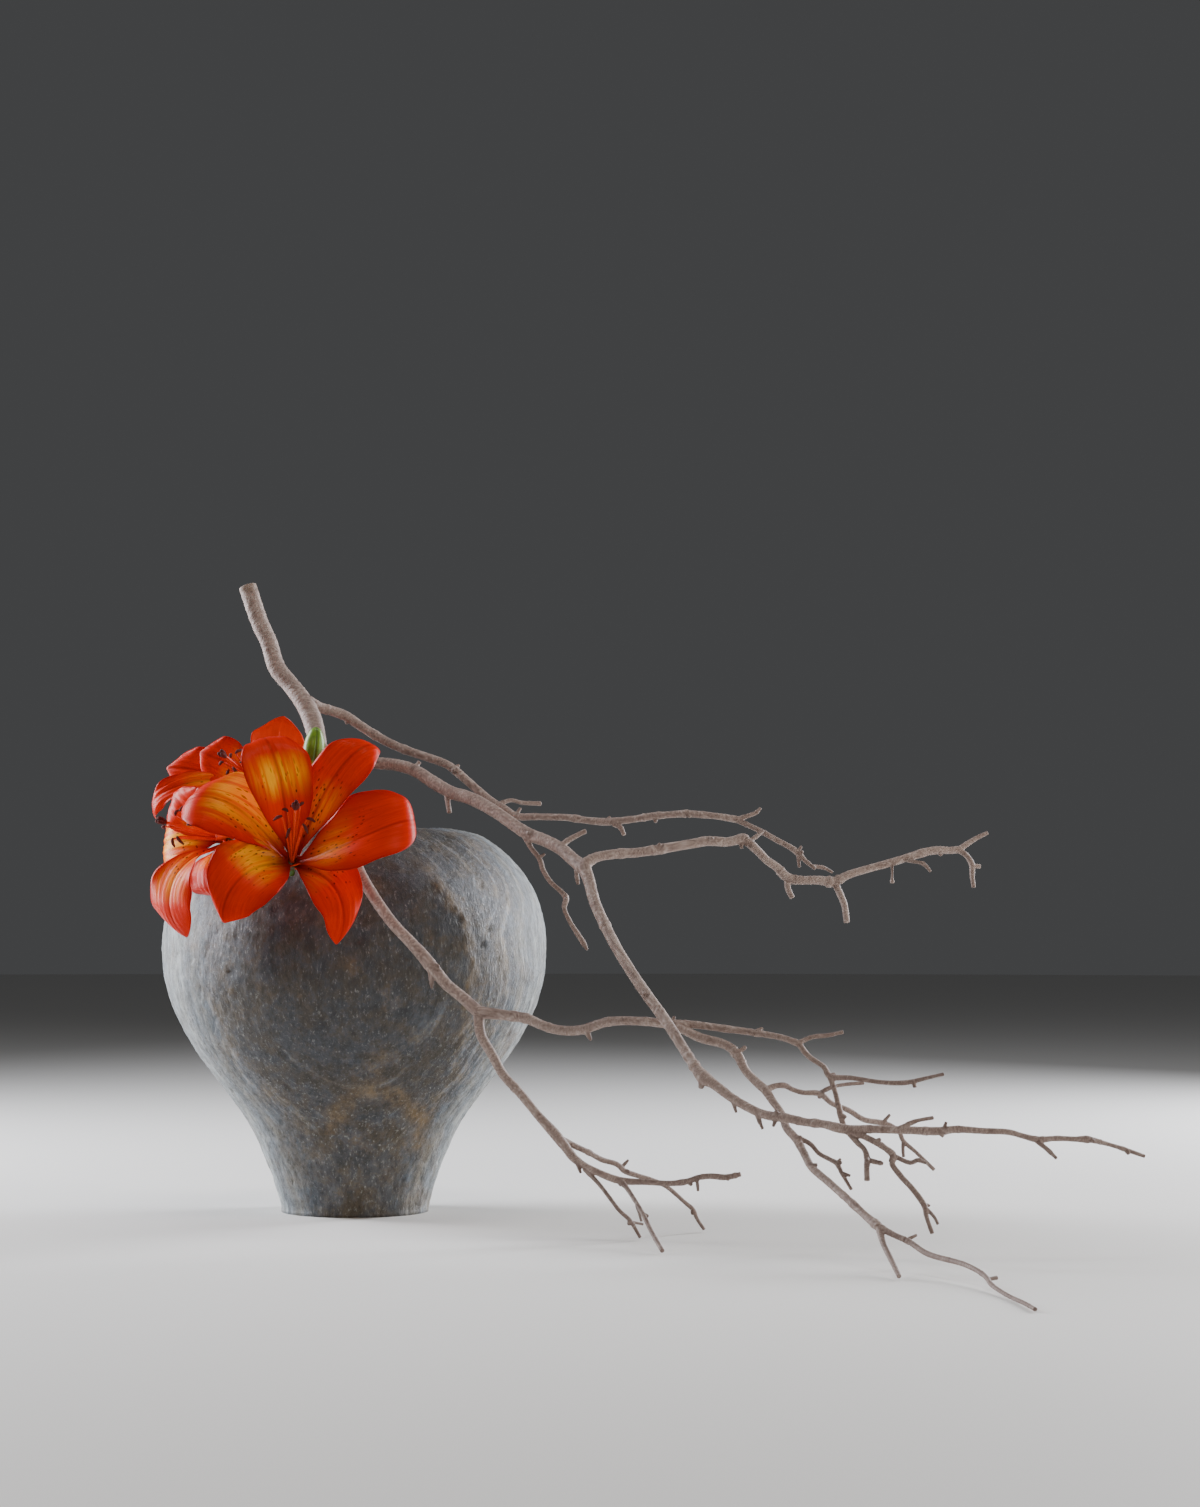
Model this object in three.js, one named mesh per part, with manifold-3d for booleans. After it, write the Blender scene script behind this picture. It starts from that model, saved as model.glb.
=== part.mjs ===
// An ikebana arrangement: a stone-like vase filled with water, one bare trailing branch, and a
// stem of orange lilies with four open blooms and a bud. Millimetres, +Z up, the origin at the
// middle of the vase's foot. The arrangement is seen from -Y, with +X to the right.
import * as THREE from "three";
import { mergeVertices } from "three/addons/utils/BufferGeometryUtils.js";
import Module from "manifold-3d";

const VASE_HEIGHT = 270;
const FOOT_RADIUS = 52;
const BELLY_RADIUS = 136;
const RIM_RADIUS = 70;
const MOUTH_RADIUS = 48;
const WALL = 10;
const FLOOR_THICKNESS = 14;
const WATER_TOP = 216;
const GAP = 0.3;
const TEPAL_THICKNESS = 0.8;
const FILAMENT_DIAMETER = 1.5;
const STEM_DIAMETER = 8;
const PEDICEL_DIAMETER = 4.4;

const wasm = await Module();
wasm.setup();
const { Manifold, Mesh } = wasm;

function solidOf(geometry) {
  const bare = geometry.clone();
  bare.deleteAttribute("normal");
  bare.deleteAttribute("uv");
  const merged = mergeVertices(bare, 1e-4);
  const vertProperties = new Float32Array(merged.attributes.position.array);
  const triVerts = new Uint32Array(merged.index.array);
  return new Manifold(new Mesh({ numProp: 3, vertProperties, triVerts }));
}

function geometryOf(solid) {
  const mesh = solid.getMesh();
  const geometry = new THREE.BufferGeometry();
  geometry.setAttribute("position", new THREE.BufferAttribute(mesh.vertProperties, 3));
  geometry.setIndex(new THREE.BufferAttribute(mesh.triVerts, 1));
  geometry.computeVertexNormals();
  return geometry;
}

const fuse = (solids) => solids.reduce((whole, piece) => whole.add(piece));

const arrangement = new THREE.Group();

function place(name, solid, finish) {
  const mesh = new THREE.Mesh(geometryOf(solid), new THREE.MeshStandardMaterial(finish));
  mesh.name = name;
  arrangement.add(mesh);
}

// A round form turned on the upright axis, from its profile of [radius, height].
function turned(profile, segments) {
  const points = profile.map(([radius, height]) => new THREE.Vector2(radius, height));
  return new THREE.LatheGeometry(points, segments).rotateX(Math.PI / 2);
}

// Rings of points, joined side by side and closed at both ends by a point of their own.
function skin(rings, start, end) {
  const sides = rings[0].length;
  const points = [...rings.flat(), start, end];
  const startIndex = points.length - 2;
  const endIndex = points.length - 1;
  const lastRing = (rings.length - 1) * sides;
  const faces = [];
  for (let side = 0; side < sides; side++) {
    const next = (side + 1) % sides;
    for (let ring = 0; ring < lastRing; ring += sides) {
      faces.push(ring + side, ring + next, ring + sides + side);
      faces.push(ring + next, ring + sides + next, ring + sides + side);
    }
    faces.push(startIndex, next, side);
    faces.push(endIndex, lastRing + side, lastRing + next);
  }
  return new THREE.BufferGeometry().setFromPoints(points).setIndex(faces);
}

// A thin blade: a grid of rows of points, given its thickness, with both faces split alike.
function sheet(rows, thickness) {
  const columns = rows[0].length;
  const faceUp = [];
  const faceDown = [];
  const pick = (row, column) => rows[THREE.MathUtils.clamp(row, 0, rows.length - 1)][column];
  rows.forEach((points, row) => {
    points.forEach((point, column) => {
      const left = points[Math.max(column - 1, 0)];
      const right = points[Math.min(column + 1, columns - 1)];
      const out = pick(row + 1, column).clone().sub(pick(row - 1, column));
      const normal = right.clone().sub(left).cross(out).normalize();
      faceUp.push(point.clone().addScaledVector(normal, thickness / 2));
      faceDown.push(point.clone().addScaledVector(normal, -thickness / 2));
    });
  });
  const under = faceUp.length;
  const last = under - columns;
  const faces = [];
  const quad = (a, b, c, d) => faces.push(a, b, c, a, c, d);
  for (let row = 0; row < rows.length - 1; row++) {
    const near = row * columns;
    const far = near + columns;
    for (let column = 0; column < columns - 1; column++) {
      const [a, b, c, d] = [near + column, near + column + 1, far + column + 1, far + column];
      quad(a, b, c, d);
      faces.push(under + a, under + c, under + b, under + a, under + d, under + c);
    }
    quad(near, far, under + far, under + near);
    const [edge, nextEdge] = [near + columns - 1, far + columns - 1];
    quad(edge, under + edge, under + nextEdge, nextEdge);
  }
  for (let column = 0; column < columns - 1; column++) {
    quad(column, under + column, under + column + 1, column + 1);
    quad(last + column, last + column + 1, under + last + column + 1, under + last + column);
  }
  return new THREE.BufferGeometry().setFromPoints([...faceUp, ...faceDown]).setIndex(faces);
}

// A tapering round limb along a smooth curve through its stations [x, y, z, diameter], cut square at
// its start and domed at its end. Its flat sides enclose as much as the round limb would, and grown
// makes it bigger all over, for the hole that it stands in.
function limb(stations, sides, step, grown = 0) {
  const places = stations.map(([x, y, z]) => new THREE.Vector3(x, y, z));
  const curve = new THREE.CatmullRomCurve3(places, false, "centripetal");
  const along = [];
  for (let leg = 0; leg < stations.length - 1; leg++) {
    const steps = Math.max(1, Math.round(places[leg].distanceTo(places[leg + 1]) / step));
    for (let count = 0; count < steps; count++) along.push(leg + count / steps);
  }
  along.push(stations.length - 1);

  const fullness = Math.sqrt(Math.PI / ((sides / 2) * Math.sin((2 * Math.PI) / sides)));
  const rings = [];
  const ends = [];
  let side = null;
  let radius = 0;
  for (const station of along) {
    const t = station / (stations.length - 1);
    const before = Math.floor(Math.min(station, stations.length - 1.001));
    const part = station - before;
    const forward = curve.getTangent(t);
    const overrun = grown * (Number(t === 1) - Number(t === 0));
    const centre = curve.getPoint(t).addScaledVector(forward, overrun);
    side ??= new THREE.Vector3(0.13, 0.31, 0.94);
    side = side.clone().addScaledVector(forward, -side.dot(forward)).normalize();
    const across = forward.clone().cross(side);
    const diameter = stations[before][3] * (1 - part) + stations[before + 1][3] * part;
    radius = (diameter / 2) * fullness + grown;
    rings.push(
      Array.from({ length: sides }, (_, index) => {
        const angle = (2 * Math.PI * index) / sides;
        return centre
          .clone()
          .addScaledVector(side, radius * Math.cos(angle))
          .addScaledVector(across, radius * Math.sin(angle));
      }),
    );
    ends.push({ centre, forward });
  }
  const last = ends[ends.length - 1];
  const tip = last.centre.clone().addScaledVector(last.forward, 0.5 * radius);
  return solidOf(skin(rings, ends[0].centre, tip));
}

// The vase is a round urn: a narrow foot, a full shoulder, a rolled rim and a small mouth.
const outside = [
  [FOOT_RADIUS, 0],
  [57.5, 20],
  [67.5, 46],
  [76, 63],
  [88, 80],
  [101, 97],
  [113, 114],
  [122.5, 131],
  [130, 148],
  [134.7, 165],
  [BELLY_RADIUS, 182],
  [BELLY_RADIUS - 0.1, 195],
  [134.2, 208],
  [129, 224],
  [118.5, 241],
  [102, 258],
  [89.5, 266],
  [RIM_RADIUS + 6, VASE_HEIGHT - 0.6],
  [RIM_RADIUS, VASE_HEIGHT],
  [60, 268],
  [52, 262],
  [MOUTH_RADIUS, 254],
];
const inside = [
  [52, 246],
  [68, 244],
  [92, 246],
  [106, 238],
  [119, 220],
  [BELLY_RADIUS - WALL, 200],
  [BELLY_RADIUS - WALL, 180],
  [120, 148],
  [103, 114],
  [74, 74],
  [50, 32],
  [36, FLOOR_THICKNESS],
];
place("vase", solidOf(turned([[0, 0], ...outside, ...inside, [0, FLOOR_THICKNESS]], 32)), {
  color: 0x6f7374,
  roughness: 0.7,
});

// The lily stem and the branch's foot go down through the mouth into the water.
const stemFoot = [-12, 10, FLOOR_THICKNESS + GAP + STEM_DIAMETER / 4 + 1];
const stemTop = [-42, -40, 288];
const stem = [
  [...stemFoot, STEM_DIAMETER],
  [-17, 3, 120, STEM_DIAMETER],
  [-26, -13, 220, STEM_DIAMETER],
  [-33, -26, 258, 7.4],
  [...stemTop, 6.6],
];
const branchFoot = [
  [-23, -32, 320, 10],
  [-17, -22, 292, 9.4],
  [-10, -8, 256, 9],
  [-5, 4, 214, 9],
  [-2, 12, 168, 9],
];

// The water fills the vase to its level, with a plain hole for each of the two.
const waterSide = inside
  .filter(([, height]) => height < WATER_TOP && height > FLOOR_THICKNESS)
  .map(([radius, height]) => [radius - GAP, height]);
const waterProfile = [
  [0, FLOOR_THICKNESS + GAP],
  [36 - GAP, FLOOR_THICKNESS + GAP],
  ...waterSide.reverse(),
  [120, WATER_TOP],
  [0, WATER_TOP],
];
place(
  "water",
  solidOf(turned(waterProfile, 32))
    .subtract(limb(stem, 8, 40, GAP))
    .subtract(limb(branchFoot, 6, 24, GAP)),
  { color: 0xa9bcc0, roughness: 0.05, transparent: true, opacity: 0.4 },
);

// The branch grew as one piece. Each limb is listed by its stations [x, y, z, diameter]: first the
// trunk with its sawn end, then the limbs in the order in which they fork, then the short twigs.
const limbs = [
  // trunk
  [
    [-78, 22, 444, 12.8],
    [-69, 17, 418, 12.3],
    [-62, 13, 403, 12],
    [-56, 8, 385, 12.4],
    [-46, 2, 372.5, 12.2],
    [-36, -6, 359.5, 13.1],
    [-30, -12, 348, 13.7],
    [-26, -20, 335, 13],
    [-23, -32, 320, 10.8],
  ],
  branchFoot,
  // the limb that leans over the rim, in front of the vase
  [
    [-23, -32, 320, 10.8],
    [-15, -58, 298, 9.3],
    [-7, -90, 277, 8.5],
    [3, -121.5, 255, 8.2],
    [12, -140, 235, 7.8],
    [22, -148, 219, 7.6],
    [33, -153, 204, 7.4],
    [43.5, -158, 193, 7.5],
    [52, -161, 184, 8.2],
    [59.5, -164, 175, 8.8],
    [69, -168, 164, 7.5],
    [80, -171, 155, 7.5],
    [90, -176, 146, 8.1],
  ],
  // its level arm to the right
  [
    [90, -176, 146, 7.8],
    [108.5, -181, 144, 6.8],
    [121.5, -185, 142, 6.6],
    [131, -188, 138, 6.2],
    [141.5, -191, 135, 6.1],
    [155.5, -195, 135, 6.3],
    [173.5, -200, 140.5, 5.8],
    [195.5, -205, 141, 5.5],
    [211.5, -208, 139.5, 6],
    [228, -210, 139, 5],
    [247.5, -213, 136.5, 4.5],
    [267.5, -217, 134, 4.2],
    [283.5, -220, 131, 3.9],
    [293.5, -222, 127.5, 4.4],
  ],
  [
    [293.5, -222, 127.5, 4],
    [299, -226, 120, 3.6],
    [308.5, -231, 113, 3.3],
    [312, -234, 107.5, 4],
    [325.5, -237, 106.5, 3],
    [344, -241, 104, 2.9],
    [358.5, -244, 104, 3.2],
    [371.5, -246, 107, 2.4],
    [381.5, -248, 109.5, 2.2],
  ],
  [
    [312, -234, 107.5, 3.8],
    [315, -237, 97.5, 3.2],
    [316.5, -239, 90.5, 3.5],
    [318, -241, 83.5, 4.1],
    [319.5, -242, 77.5, 3.6],
  ],
  // the middle arm, which forks off it
  [
    [211.5, -208, 139.5, 5.8],
    [221.5, -212, 135.5, 5.4],
    [231.5, -216, 131, 6.1],
    [247.5, -223, 126.5, 5.7],
    [254, -228, 121, 6.3],
    [259, -234, 111, 5.3],
    [266, -242, 103.5, 5.6],
    [270.5, -248, 99.5, 6],
  ],
  [
    [270.5, -248, 99.5, 4.6],
    [277, -245, 102, 3.6],
    [283, -243, 102, 3.8],
    [288, -241, 99.5, 3.2],
    [294.5, -239, 97.5, 3.1],
    [305.5, -234, 96.5, 3.8],
    [314, -227, 90, 3.4],
    [325.5, -221, 85, 3.6],
    [335.5, -217, 79, 3.6],
    [350, -212, 76, 3.5],
    [358.5, -209, 71, 3.1],
    [361.5, -207, 65, 2.9],
    [370.5, -204, 57, 2.5],
    [382, -200, 46, 2.5],
  ],
  // the low limb, down to the surface at the right
  [
    [270.5, -248, 99.5, 5.8],
    [274, -254, 93.5, 5],
    [279, -262, 86, 4.8],
    [281.5, -271, 77.5, 5],
    [286.5, -279, 71.5, 5.3],
    [290.5, -288, 63.5, 4.7],
    [294, -297, 56, 4.8],
    [304, -312, 47, 4.7],
    [314.5, -331, 37.5, 4.7],
    [322.5, -346, 30, 4.8],
    [328, -357, 25.5, 5.9],
  ],
  [
    [328, -357, 25.5, 4.8],
    [336, -364, 21.5, 3.6],
    [343.5, -371, 18.5, 3.5],
    [352.5, -385, 13, 3.4],
    [370, -415, 10, 3.1],
    [377, -440, 7, 2.9],
    [378.5, -460, 3.8, 2.7],
    [382.5, -490, 1.8, 2.4],
    [386, -522, 1.8, 2.4],
    [387.5, -546, 1.8, 2.2],
  ],
  [
    [328, -357, 25.5, 4.6],
    [329.5, -366, 17, 3.6],
    [332, -378, 10, 3.3],
    [333.5, -408, 2.6, 2.8],
  ],
  [
    [285.5, -277, 73, 3.4],
    [295, -282, 68.5, 3],
    [300, -286, 63, 2.8],
    [306.5, -290, 59.5, 2.8],
    [310, -293, 57.5, 3.1],
    [313, -297, 51.5, 2.6],
    [318, -302, 42.5, 2.1],
  ],
  // the limb that hangs in front of the vase's foot
  [
    [90, -176, 146, 7.4],
    [91.5, -179, 132, 6.5],
    [99, -182, 118.5, 6.2],
    [106, -184, 106, 6],
    [117, -187, 94, 5.8],
    [129, -190, 79.5, 5.7],
    [140, -193, 67.5, 7],
    [146, -194, 60, 6.2],
    [151.5, -195, 53, 5.8],
    [157.5, -196, 48.5, 4.8],
    [165.5, -197, 44.5, 4.5],
    [180, -199, 39, 4.9],
    [197, -202, 38, 3.8],
    [214.5, -205, 37.5, 3.6],
    [224, -207, 39, 3.8],
    [231, -208, 41.5, 3.5],
    [238.5, -210, 42.5, 3.8],
    [248, -212, 42, 3.9],
    [257, -214, 44, 3.1],
  ],
  [
    [144, -193, 64.5, 4.5],
    [152.5, -189, 60, 4],
    [161.5, -184, 55.5, 3.6],
    [170, -179, 50.5, 3.6],
    [180, -174, 47, 3.5],
    [185, -171, 42.5, 3.7],
    [194, -167, 39, 3.3],
    [203, -163, 36, 3.1],
    [212.5, -159, 31.5, 3],
    [225, -153, 20.5, 2.8],
    [230.5, -151, 15.5, 3.1],
    [233.5, -149, 9, 2.5],
    [238, -146.5, 2.2, 2.3],
  ],
  [
    [158.5, -196, 46, 3.5],
    [167.5, -196, 36.5, 2.8],
    [174.5, -196, 27.5, 2.7],
    [181, -196, 19, 2.7],
    [187.5, -196, 13, 2.8],
    [194, -197, 2.2, 2.1],
  ],
  [
    [180.5, -199, 39, 3.8],
    [184.5, -207, 35.5, 3.2],
    [188.5, -217, 30, 2.9],
    [194.5, -236, 20.5, 3],
    [199, -254, 11.5, 2.9],
    [204.5, -276, 2.4, 2.9],
  ],
  // the long limb to the right
  [
    [-24, -27, 326, 10],
    [-11.5, -30, 319.5, 9.2],
    [2, -33, 316, 8.6],
    [14, -36, 315, 8.4],
    [32, -40, 313, 8.3],
    [44, -45, 309, 8.4],
    [58, -54, 300, 8.8],
    [70, -62, 293, 8.8],
    [80, -68, 290, 8.9],
    [89.5, -75, 285.5, 8.6],
    [101, -84, 278.5, 8.2],
    [114, -95, 269, 8.1],
    [122.5, -102, 263.5, 8.6],
    [134.5, -112, 258.5, 8.3],
    [145, -122, 252.5, 8.4],
    [152, -130, 246, 8.6],
    [159, -139, 240, 9.9],
  ],
  // its upper arm
  [
    [159, -139, 242, 8.4],
    [167, -135, 247, 6.6],
    [180.5, -131, 249.5, 6.4],
    [194.5, -127, 250.5, 6.3],
    [207.5, -124, 252.5, 6.5],
    [234, -117, 257, 6.4],
    [242, -115, 258.5, 6.7],
    [256, -112, 258, 6.2],
    [267, -109, 259.5, 6.6],
    [276, -108, 252.5, 5.8],
    [283, -107, 245.5, 5.5],
    [289, -106, 241.5, 5.8],
    [297, -105, 234, 6.7],
    [305, -104, 232.5, 5.9],
    [317.5, -102, 232.5, 5.8],
    [328.5, -100, 231.5, 6.7],
    [338, -99, 236, 5.4],
    [353, -96, 240.5, 5.1],
    [366, -94, 244, 5.3],
    [379.5, -91, 248, 5.3],
    [393, -88, 252, 5.4],
    [400.5, -86, 253, 5.5],
    [409, -84, 253, 4.8],
    [416, -83, 253.5, 5.1],
  ],
  [
    [415.5, -83, 253.5, 4.4],
    [420.5, -81, 257, 3.8],
    [429, -78, 262, 3.1],
    [435.5, -76, 265, 2.6],
  ],
  [
    [415.5, -83, 253, 4.1],
    [420, -85, 249.5, 3.6],
    [423.5, -87, 243, 4.1],
    [423.5, -88, 235.5, 3.2],
    [424.5, -88, 228, 2.8],
  ],
  [
    [329.5, -100, 230, 4.8],
    [332.5, -102, 223, 4.5],
    [335, -104, 216, 4.4],
    [336.5, -106, 204.5, 4],
  ],
  // its drooping arm, which runs out to the far right
  [
    [159, -139, 241, 9.3],
    [162.4, -146, 231.5, 7.9],
    [166, -157, 217, 7.4],
    [172.4, -169, 202, 7.1],
    [179.5, -182, 187.5, 6.9],
    [188.4, -195, 172.5, 6.9],
    [197.2, -207, 159, 7.1],
    [205.4, -218, 147.5, 7],
    [213, -230, 136, 6.8],
    [220.5, -242, 123.5, 6.5],
    [227, -253, 113, 6.9],
    [231, -257, 108, 9],
    [236.5, -261, 104.5, 6.5],
    [242.5, -265, 100, 6.1],
    [248.5, -269, 95.5, 5.7],
    [254.5, -273, 92, 5.6],
    [265, -279, 87, 5.4],
    [272, -283, 85.5, 5.8],
    [281, -287, 84.5, 5.5],
    [291, -291, 82.5, 5.1],
    [302, -295, 81.5, 5.1],
    [310.5, -298, 79.5, 6.1],
    [317, -300, 78.5, 5.8],
    [328, -302, 79, 5.1],
    [352, -305, 78.5, 4.8],
    [370.5, -305, 78, 5.2],
    [381.5, -304, 79, 4.5],
    [397, -303, 78, 3.9],
    [414, -301, 77, 3.6],
    [423, -300, 74.5, 3.4],
    [431.5, -299, 72.5, 4],
    [443, -297, 73, 3.2],
    [454.5, -296, 72.5, 3.3],
    [464, -294, 72, 3.8],
    [476, -292, 69, 2.6],
    [487, -290, 65.5, 2.7],
    [498.5, -288, 61.5, 2.3],
  ],
  [
    [316, -300, 77.5, 4.9],
    [324.5, -303, 75, 3.8],
    [332, -306, 71.5, 3.9],
    [337, -308, 68.5, 3.6],
    [342.5, -310, 63.5, 4.6],
    [341.5, -312, 59, 3.7],
    [346, -316, 52, 3.6],
    [353.5, -320, 43.5, 3.6],
    [359.5, -325, 34, 3.6],
    [360, -327, 29, 2.8],
    [363, -331, 19, 2.5],
  ],
  [
    [317, -300, 76.5, 4],
    [322, -303, 70.5, 3.5],
    [325.5, -305, 67, 3.2],
    [327, -307, 61.5, 4],
    [326.5, -309, 56, 3.5],
    [326.5, -311, 49, 3.6],
  ],
  // the thin back limb
  [
    [-33, -7, 360, 8.6],
    [-25, -2, 356, 7.4],
    [-15.5, 3, 353.5, 7.1],
    [-6.5, 5, 350, 7.2],
    [4, 4, 343, 6.7],
    [16.5, 0, 335, 6.5],
    [28, -4, 329, 6.3],
    [40, -9, 324, 6.1],
    [63.5, -19, 315.5, 5.8],
    [70, -22, 311.5, 6],
    [78.5, -26, 304, 5.9],
    [87.5, -31, 296, 5.7],
    [96.5, -36, 288.5, 5.6],
    [105.5, -41, 283, 5.3],
    [114.5, -45, 277.5, 5.1],
    [127, -50, 277, 4.7],
    [150.5, -58, 276, 4.7],
    [163, -62, 274, 4.7],
    [176, -66, 273, 5.3],
    [194, -71, 274.5, 4.6],
    [207, -74, 276.5, 5.2],
    [219, -76, 277.5, 4.6],
    [230.5, -78, 278, 4.9],
    [249, -80, 276.5, 4.4],
    [265, -81, 274, 4.7],
  ],
  [
    [264.5, -81, 274, 3.7],
    [272, -79, 276.5, 3],
    [278, -77, 279, 2.7],
    [281, -76, 282, 1.8],
  ],
  [
    [265, -81, 273.5, 4.1],
    [273, -84, 269.5, 3.6],
    [281, -87, 265.5, 3.7],
    [290.5, -89, 260, 3.8],
    [300.5, -91, 254.5, 3.9],
    [305, -92, 251, 4.3],
    [310, -94, 245.5, 2.8],
    [316, -96.5, 240.5, 2.6],
  ],
  // the twig that hangs from the long limb
  [
    [120.5, -101, 262, 4.7],
    [124.5, -105, 254, 3.4],
    [130, -109, 246.5, 3.4],
    [132.5, -111, 239, 3.4],
    [137.5, -114, 231, 3.2],
    [144.5, -117, 224.5, 3.3],
    [147.5, -119, 220.5, 4.1],
    [146.5, -120, 213.5, 3.1],
    [150, -122, 205, 3.1],
    [155.5, -125, 196, 3.3],
    [159, -127, 190.5, 3.7],
    [161.5, -129, 186, 1.9],
  ],
];

// Short twigs, thorns and buds: each is a few stations from the limb that it grew on.
const twigs = [
  [[293.5, -222, 128, 3.4], [302, -220, 131.5, 2.8], [312, -218, 132.5, 2.6], [322, -216, 134.5, 2.2]],
  [[363, -245, 105, 2.9], [364, -245, 101.3, 2.4]],
  [[254.5, -228, 122, 3.8], [259.5, -226, 125.5, 2.2]],
  [[305.5, -234, 97, 2.8], [313, -229, 100, 2.4], [320.5, -225, 101.5, 2.3], [334.5, -220, 102.5, 2.5]],
  [[361.5, -207, 65.5, 2.4], [361.5, -206, 59.5, 2.2], [362, -205, 54.5, 2]],
  [[347.5, -213, 76.5, 2.4], [352.5, -210, 81.5, 1.8]],
  [[313, -297, 52, 2.2], [317.5, -299, 50.5, 1.7]],
  [[310, -293, 57.5, 2.4], [312.5, -291.5, 60, 1.7]],
  [[378, -448, 5.6, 2.3], [383.5, -444, 6, 2.3]],
  [[342.5, -370, 19, 2.2], [349, -366, 21.5, 1.8]],
  [[183, -172, 45, 2.6], [187.5, -169, 49.5, 1.6]],
  [[188.5, -196, 12, 1.9], [196, -192, 10, 1.6]],
  [[190.5, -223, 26.5, 2.2], [193.5, -231, 16, 1.6]],
  [[230, -208, 40, 2.4], [230.5, -209, 33, 1.8]],
  [[153.5, -196, 50, 2.8], [156, -198, 43.5, 1.7]],
  [[423.5, -87, 242.5, 3.2], [429, -85, 242, 3]],
  [[296.5, -105, 233, 4.5], [297, -107, 226.5, 4.1], [299.5, -108, 221, 3.6]],
  [[368.5, -94, 243.5, 2.2], [368.5, -94, 235.5, 1.6], [368.5, -94, 231, 2.8]],
  [[376, -92, 246.5, 2.8], [384, -95, 245, 2.3], [389.5, -96, 243.5, 2.5], [394, -97, 238.5, 2]],
  [[271, -109, 258.5, 3.4], [276, -105, 262, 2.5], [280.5, -101, 265.5, 2.4]],
  [[265, -110, 257.5, 3.4], [265.5, -111, 254, 2.1]],
  [[66.5, -60, 292.5, 4.4], [67.5, -64, 285, 3.6], [68.5, -66, 279.5, 3.4]],
  [[43.5, -45, 310, 4.2], [47, -43, 315, 2.5]],
  [[143.5, -121, 254, 4.7], [148.5, -119, 258.5, 3.8], [154.5, -117, 262, 3.4], [160.5, -115, 265, 3.3]],
  [[154.5, -133, 241.5, 3.8], [154.5, -133, 235.5, 2.8], [155.5, -133, 229.5, 2.2]],
  [[130, -109, 247.5, 2.3], [133.5, -108, 250, 1.7]],
  [[230, -257, 107, 5.2], [229.5, -258, 101.5, 3.1]],
  [[248.5, -269, 94, 2.9], [250.5, -270, 87, 1.6]],
  [[262.5, -278, 87.5, 3.8], [264, -279, 82.5, 2.6], [266, -280, 77.5, 1.7]],
  [[274, -284, 84.5, 3.2], [272, -285, 79.5, 1.7]],
  [[430.5, -299, 72, 3.2], [437, -302, 66.5, 2.7], [442, -304, 61.5, 2.1]],
  [[347, -305, 80, 2.8], [358, -301, 84, 2.4], [368, -297, 85.5, 2.3]],
  [[373.5, -305, 79, 2.6], [375, -305.5, 83.5, 1.7]],
  [[359.5, -325, 34, 2.6], [365, -326, 28, 2.1], [367, -327, 24, 1.9]],
  [[358.5, -324, 36, 2.6], [362.5, -322, 34.5, 1.8]],
  [[342.5, -310, 63.5, 3], [352.5, -312, 59.5, 2.8], [357, -313, 61, 2.8], [361.5, -314, 59.5, 2]],
  [[327, -307, 61, 3], [332, -307, 59.5, 3.1], [336.5, -306, 58.5, 2.2]],
  [[314.5, -95.5, 242, 2.5], [322.5, -91, 241, 2.4], [328.5, -89, 238, 2]],
  [[305, -92, 250, 2.6], [306, -91, 241.5, 2.1]],
  [[305, -92, 252, 2.6], [307.5, -91, 255.5, 1.8]],
  [[181.5, -68, 271.5, 4.2], [185.5, -70, 269, 3.4], [188, -71, 264, 3]],
  [[70, -22, 311.5, 3.6], [74, -20, 314, 2.2]],
  [[101, -38, 285.5, 3.8], [110.5, -32, 289, 2.8], [118, -29, 287.5, 2.9], [131, -24, 287, 3.4]],
  [[114.5, -45, 279, 3], [117, -44, 283, 2]],
  [[209, -74, 275.5, 4], [209.5, -75, 272.5, 2.3]],
  [[59, -165, 172, 4.8], [59.5, -168, 161.5, 1.7]],
  [[159.5, -196, 134.5, 4.6], [162.5, -197, 128.5, 1.7]],
  [[265.5, -217, 134.5, 2.8], [271, -215, 137, 1.9]],
  [[214, -208, 140.5, 3], [215.5, -207, 144, 1.9]],
];
const sidesFor = (diameter) => (diameter > 8 ? 6 : diameter > 4.2 ? 5 : 4);
const wood = [
  ...limbs.map((stations) => limb(stations, sidesFor(stations[0][3]), 24)),
  ...twigs.map((stations) => limb(stations, 4, 30)),
];
place("branch", fuse(wood), { color: 0x9c8b80, roughness: 0.85 });

// The lilies: one stem with bent pedicels, four open blooms and a bud.

// A bloom's own frame: its axis points out of the throat, up leans towards the sky, and right is
// to the right of someone who looks into the throat.
function bloomFrame(base, lookout) {
  const axis = new THREE.Vector3(...lookout).normalize();
  const up = new THREE.Vector3(0, 0, 1).addScaledVector(axis, -axis.z).normalize();
  const right = up.clone().cross(axis);
  return { base: new THREE.Vector3(...base), axis, up, right };
}

function onBloom({ base, axis, up, right }, along, away, heading) {
  return base
    .clone()
    .addScaledVector(axis, along)
    .addScaledVector(up, away * Math.cos(heading))
    .addScaledVector(right, away * Math.sin(heading));
}

const TEPAL_ROWS = 7;
const TEPAL_HALF_COLUMNS = 2;
const radians = THREE.MathUtils.degToRad;

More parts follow.
